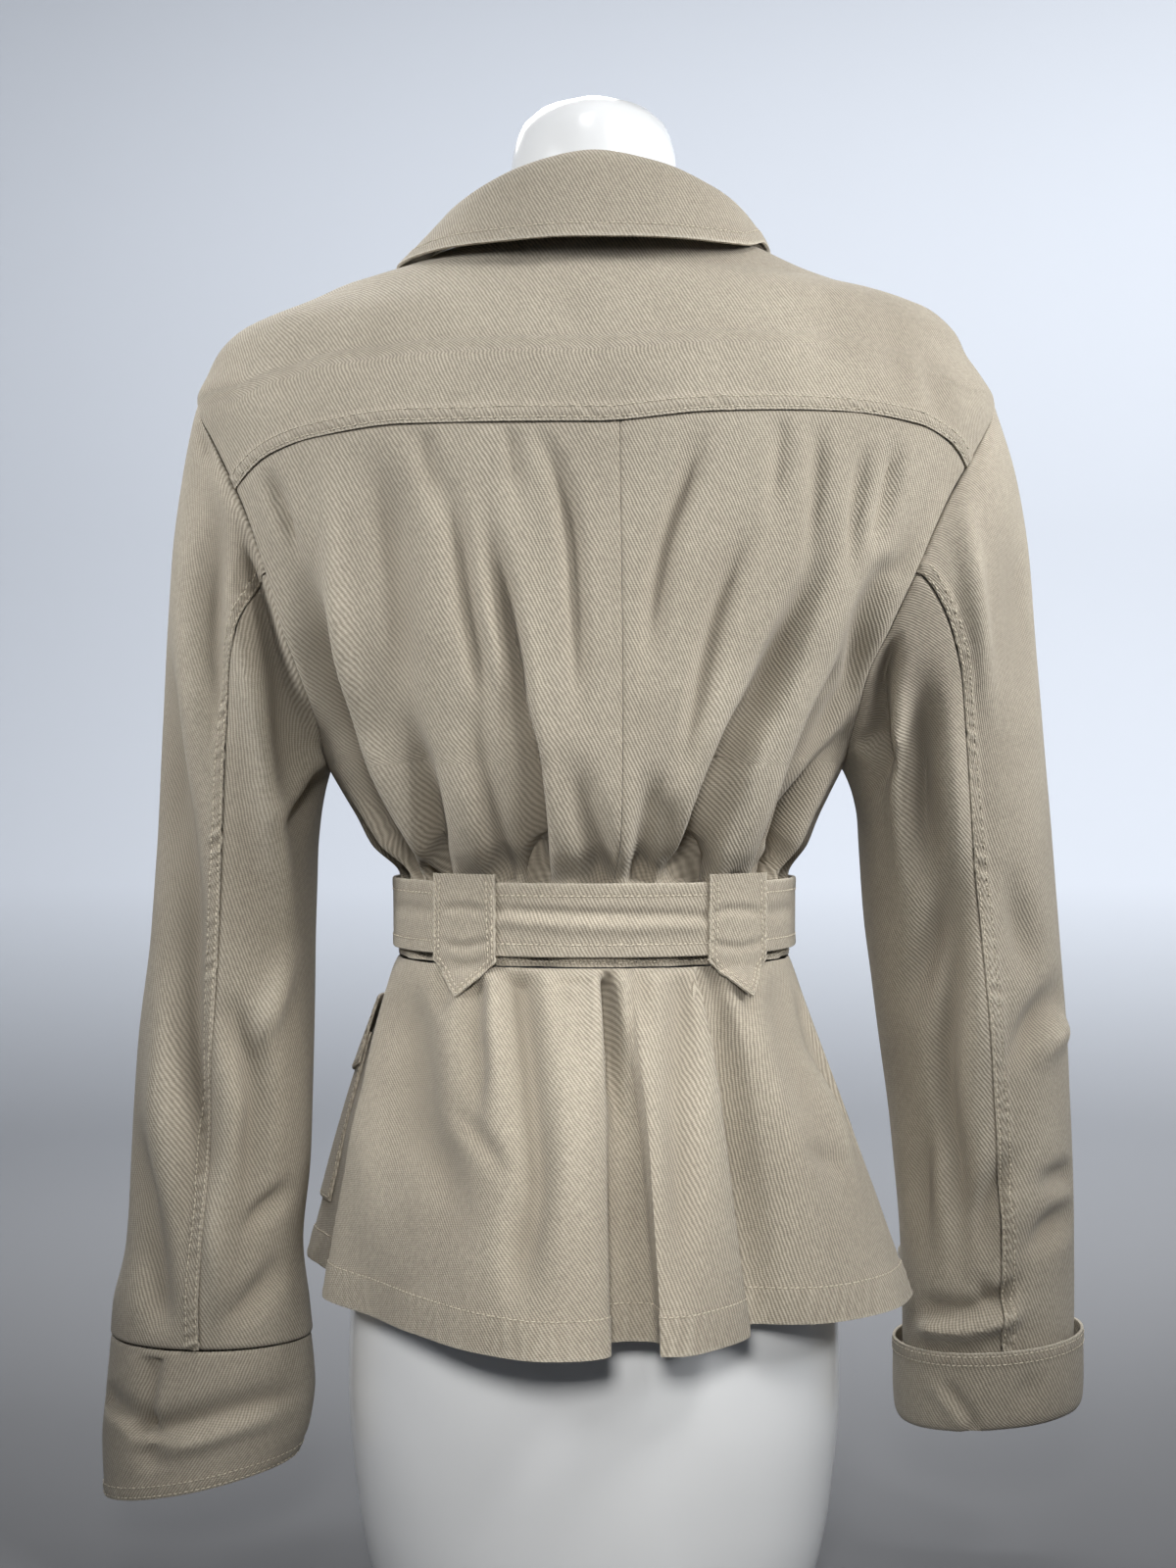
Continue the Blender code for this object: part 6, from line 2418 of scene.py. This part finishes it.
@dataclass
class FrontClosing(Garment):
    """The closing strip above and below the waist, with its buttons."""

    step: float = 3.0
    half: float = 15.0
    low: float = 415.0
    high: float = 697.0
    button_steps: int = 40
    button_heights: tuple[float, ...] = (440.0, 502.0, 564.0, 626.0, 684.0)
    button_drops: tuple[float, ...] = (0.25, 0.62)
    # Half section of a button as radius and height
    profile: tuple[Span, ...] = (
        *((0.0, 1.7), (3.4, 1.7), (4.6, 2.1), (5.8, 2.8), (6.6, 3.0)),
        *((7.4, 2.8), (7.9, 2.2), (7.9, 1.0), (7.2, 0.2), (0.0, 0.0)),
    )

    def strip(self, u: Array, height: Array) -> Array:
        """The strip above the waist over the distance across and the height.

        Args:
            u: Distances across the strip.
            height: Heights.

        Returns:
            The points.
        """
        turn = np.full_like(u, 180.0)
        return moved_out(
            bodice, 180 + np.degrees(u / body_reach(turn, height)), height, CLOTH + 2 * LAY, (0.2, 0.2),
        )

    def low_strip(self, u: Array, drop: Array) -> Array:
        """The strip below the waist over the distance across and the drop.

        Args:
            u: Distances across the strip.
            drop: Shares of the drop to the hem.

        Returns:
            The points.
        """
        near = peplum(np.zeros_like(u), drop)
        out = np.hypot(near[..., 0], near[..., 1])
        return polar(180 + np.degrees(u / out), out + CLOTH + 4 * LAY, near[..., 2])

    def build(self) -> None:
        """Lays both strips."""
        edges = (Edge.LEFT, Edge.RIGHT)
        seams = tuple(SeamFinish(edge, (3.0,), 5.0, 0.2, 0.3, 0.3, 0.15, 0.4) for edge in edges)
        span = (-self.half, self.half)
        details = {"seams": seams, "hold": Hold.LAID}
        carriers = ("front_left", "front_right")
        self.lay(
            "placket_bodice", self.strip, span, (self.low, self.high), (6.0, 0.0), rests_on=carriers,
            **details,
        )
        carriers = ("peplum_front_left", "peplum_front_right")
        self.lay(
            "placket_peplum", self.low_strip, span, (1.0, 0.06), (6.0, 0.0), rests_on=carriers, **details,
        )

    def buttons(self, finishes: Finishes) -> list[Piece]:
        """Every button on its seat.

        Args:
            finishes: The materials.

        Returns:
            The buttons.
        """

        def seat_on(surface: Surface, u: float, v: float, lift: float, steps: Span) -> tuple[Array, Array]:
            """The seat of a button on a surface and the way out of it.

            Args:
                surface: The form under the button.
                u: Place across it.
                v: Place up it.
                lift: Distance off it.
                steps: Small steps for its slope.

            Returns:
                The seat and the way out.
            """
            at = (np.full(1, u), np.full(1, v))
            low, high = (moved_out(surface, *at, lift + more, steps)[0] for more in (0.0, 1.0))
            return low, high - low

        seats = [seat_on(bodice, 180.0, z, CLOTH + 4 * LAY, (0.2, 0.2)) for z in self.button_heights]
        seats += [seat_on(self.low_strip, 0.0, v, LAY + 0.2, (1.0, -0.02)) for v in self.button_drops]
        made = []
        for number, (seat, out) in enumerate(seats, start=1):
            mesh = turned(
                [(radius * MM, height * MM) for radius, height in self.profile], self.button_steps,
            )
            turn = Vector((0, 0, 1)).rotation_difference(Vector(out)).to_matrix()
            bmesh.ops.rotate(mesh, cent=(0, 0, 0), matrix=turn, verts=mesh.verts)
            bmesh.ops.translate(mesh, vec=Vector(seat) * MM, verts=mesh.verts)
            name = f"button_{number}"
            made.append(
                plain_piece(f"dish_{number}", mesh, finishes.button, "button", name, math.radians(50)),
            )
        return made


@dataclass
class DisplayForm:
    """The smooth limbless form that the jacket rests on."""

    columns: int = 96
    step: float = 7.0

    def build(self, finish: Material) -> Piece:
        """The form as one closed skin with a flat underside.

        Args:
            finish: Its material.

        Returns:
            The piece.
        """
        top = float(FORM.keys[-1])
        heights = np.concatenate([[0.0], np.linspace(0.0, top, int(top / self.step)), [top + 0.8]])
        turns = np.linspace(0.0, 360.0, self.columns + 1)
        angle, height = np.meshgrid(turns, heights)
        side, back, front = (FORM.read(name, height) for name in ("side", "back", "front"))
        reach = ring_reach(angle, side, back, front, BODY.read("squareness", height))
        reach[0] = 0.0
        reach[-1] = 0.0
        points = polar(angle, reach, height).reshape(-1, 3) * MM
        mesh, _ = grid_mesh(points, self.columns, len(heights) - 1)
        bmesh.ops.remove_doubles(mesh, verts=mesh.verts, dist=1e-5)
        bmesh.ops.recalc_face_normals(mesh, faces=mesh.faces)
        return plain_piece("form_skin", mesh, finish, "form_white", "form", math.radians(50))


@dataclass(frozen=True)
class Lamp:
    """One soft area light that the camera does not see; its spread is in degrees."""

    name: str
    place: Place
    aim: Place
    size: Span
    power: float
    colour: Colour
    spread: float

    def build(self) -> None:
        """Hangs the lamp and turns it to what it lights."""
        data = bpy.data.lights.new(self.name, "AREA")
        data.shape = "RECTANGLE"
        data.size, data.size_y = self.size
        data.energy = self.power
        data.color = self.colour
        data.spread = math.radians(self.spread)
        made = linked(self.name, data)
        made.location = self.place
        made.rotation_euler = (Vector(self.aim) - Vector(self.place)).to_track_quat("-Z", "Y").to_euler()
        made.visible_camera = False


@dataclass
class Studio:
    """Camera, soft light and a floor that curves up into a pale wall, painted darker near the ground and
    towards the camera as shade.
    """

    floor_radius: float = 2.6
    curve: float = 0.9
    wall: float = 3.4
    floor_steps: int = 72
    sunk: float = 0.002
    mottle: Span = (0.6, 30.0)
    painted_shade_floor: Colour = (0.128, 0.13, 0.136)
    wall_colour: Colour = (0.43, 0.454, 0.497)
    painted_light_rise: float = 0.45
    painted_light_behind: float = 0.07
    rough: float = 0.95
    sky: Colour = (0.80, 0.86, 0.95)
    sky_power: float = 0.08
    lamps: tuple[Lamp, ...] = (
        Lamp("key", (0.85, -1.0, 1.65), (0.0, -0.1, 0.66), (0.4, 0.4), 1.33, (1.0, 0.99, 0.98), 54),
        Lamp("right", (1.15, -0.5, 1.05), (0.14, 0.0, 0.6), (0.4, 0.4), 1.5, (0.98, 0.99, 1.0), 50),
        Lamp("left", (-1.15, -0.55, 1.05), (-0.1, 0.0, 0.62), (0.4, 0.4), 1.22, (0.99, 0.995, 1.0), 49),
        Lamp("top", (-0.3, -0.9, 1.9), (0.0, -0.1, 0.6), (0.5, 0.5), 0.55, (0.99, 0.995, 1.0), 66),
        Lamp("skirt", (-0.05, -1.3, 0.75), (0.0, -0.15, 0.27), (0.2, 0.2), 0.52, (1.0, 0.99, 0.97), 38),
        Lamp("back", (-0.4, 1.3, 1.9), (0.0, 0.0, 0.6), (1.2, 1.0), 9.0, (1.0, 0.99, 0.97), 95),
        Lamp("wall", (0.5, 0.5, 2.0), (0.65, 2.4, 0.4), (2.4, 0.8), 71.0, (0.98, 0.99, 1.0), 140),
    )

    def build(self) -> None:
        """Sets the camera, the floor and the light."""
        self._camera()
        self._floor()
        self._light()

    def _camera(self) -> None:
        """The camera of the back view."""
        data = bpy.data.cameras.new("camera")
        data.sensor_fit = "VERTICAL"
        data.sensor_width = SENSOR
        data.sensor_height = SENSOR
        data.lens = SENSOR * VIEW_FOCUS / VIEW_LONG_SIDE
        made = linked("camera", data)
        made.location = Vector(EYE) * MM
        made.rotation_euler = (math.pi / 2, 0.0, 0.0)
        bpy.context.scene.camera = made

    def _floor(self) -> None:
        """A round floor whose rim curves up into a wall, painted darker low down and in front as shade."""
        bend = np.linspace(0, math.pi / 2, 16)
        flat = self.floor_radius - self.curve
        line = [(0.0, 0.0), (0.6, 0.0), (flat, 0.0)]
        line += [(flat + self.curve * math.sin(a), self.curve * (1 - math.cos(a))) for a in bend[1:]]
        line.append((self.floor_radius, self.wall))
        mesh = turned([(out, height - self.sunk) for out, height in line], self.floor_steps)
        data = bpy.data.meshes.new("studio_floor")
        mesh.to_mesh(data)
        mesh.free()
        data.shade_smooth()
        made = linked("studio_floor", data)
        finish, tree, shader = shader_of("studio_paint")
        mottle = mottled(tree, *self.mottle)
        place = tree.nodes.new("ShaderNodeTexCoord")
        parts = tree.nodes.new("ShaderNodeSeparateXYZ")
        tree.links.new(place.outputs["Object"], parts.inputs["Vector"])
        # Painted light and shade: the colour goes from dark on the floor near the camera to pale up the wall
        # and behind, as light falling off downwards
        behind = NodeGroups.math(tree, "MULTIPLY", parts.outputs["Y"], self.painted_light_behind)
        far = NodeGroups.math(tree, "ADD", parts.outputs["Z"], behind)
        colour = ramped(tree, far, self.painted_shade_floor, self.wall_colour, (0.0, self.painted_light_rise))
        tint = ramped(tree, mottle.outputs["Broad"], grey(0.97), grey(1.0), MOTTLE_SPAN)
        tree.links.new(mixed(tree, "MULTIPLY", colour, tint, 1.0), shader.inputs["Base Color"])
        shader.inputs["Roughness"].default_value = self.rough
        data.materials.append(finish)

    def _light(self) -> None:
        """The lamps and a faint pale world."""
        for lamp in self.lamps:
            lamp.build()
        world = bpy.data.worlds.new("world")
        world.use_nodes = True
        sky = world.node_tree.nodes["Background"]
        sky.inputs["Color"].default_value = (*self.sky, 1.0)
        sky.inputs["Strength"].default_value = self.sky_power
        bpy.context.scene.world = world
        bpy.context.scene.view_settings.view_transform = "Standard"


def main() -> None:
    """Builds the whole look on the loaded frame."""
    logging.basicConfig(level=logging.INFO)
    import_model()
    Studio().build()
    finishes = Finishes.build()
    thread = Thread()
    DisplayForm().build(finishes.form)
    belt = Belt()
    closing = FrontClosing()
    for group in (Bodice(), Sleeves(), Collar(), Peplum(), belt, closing):
        group.build()
        made = group.dress(finishes, thread)
        LOG.info("%s: %d pieces", type(group).__name__, len(made))
    belt.buckle(finishes.buckle)
    closing.buttons(finishes)


if __name__ == "__main__":
    main()
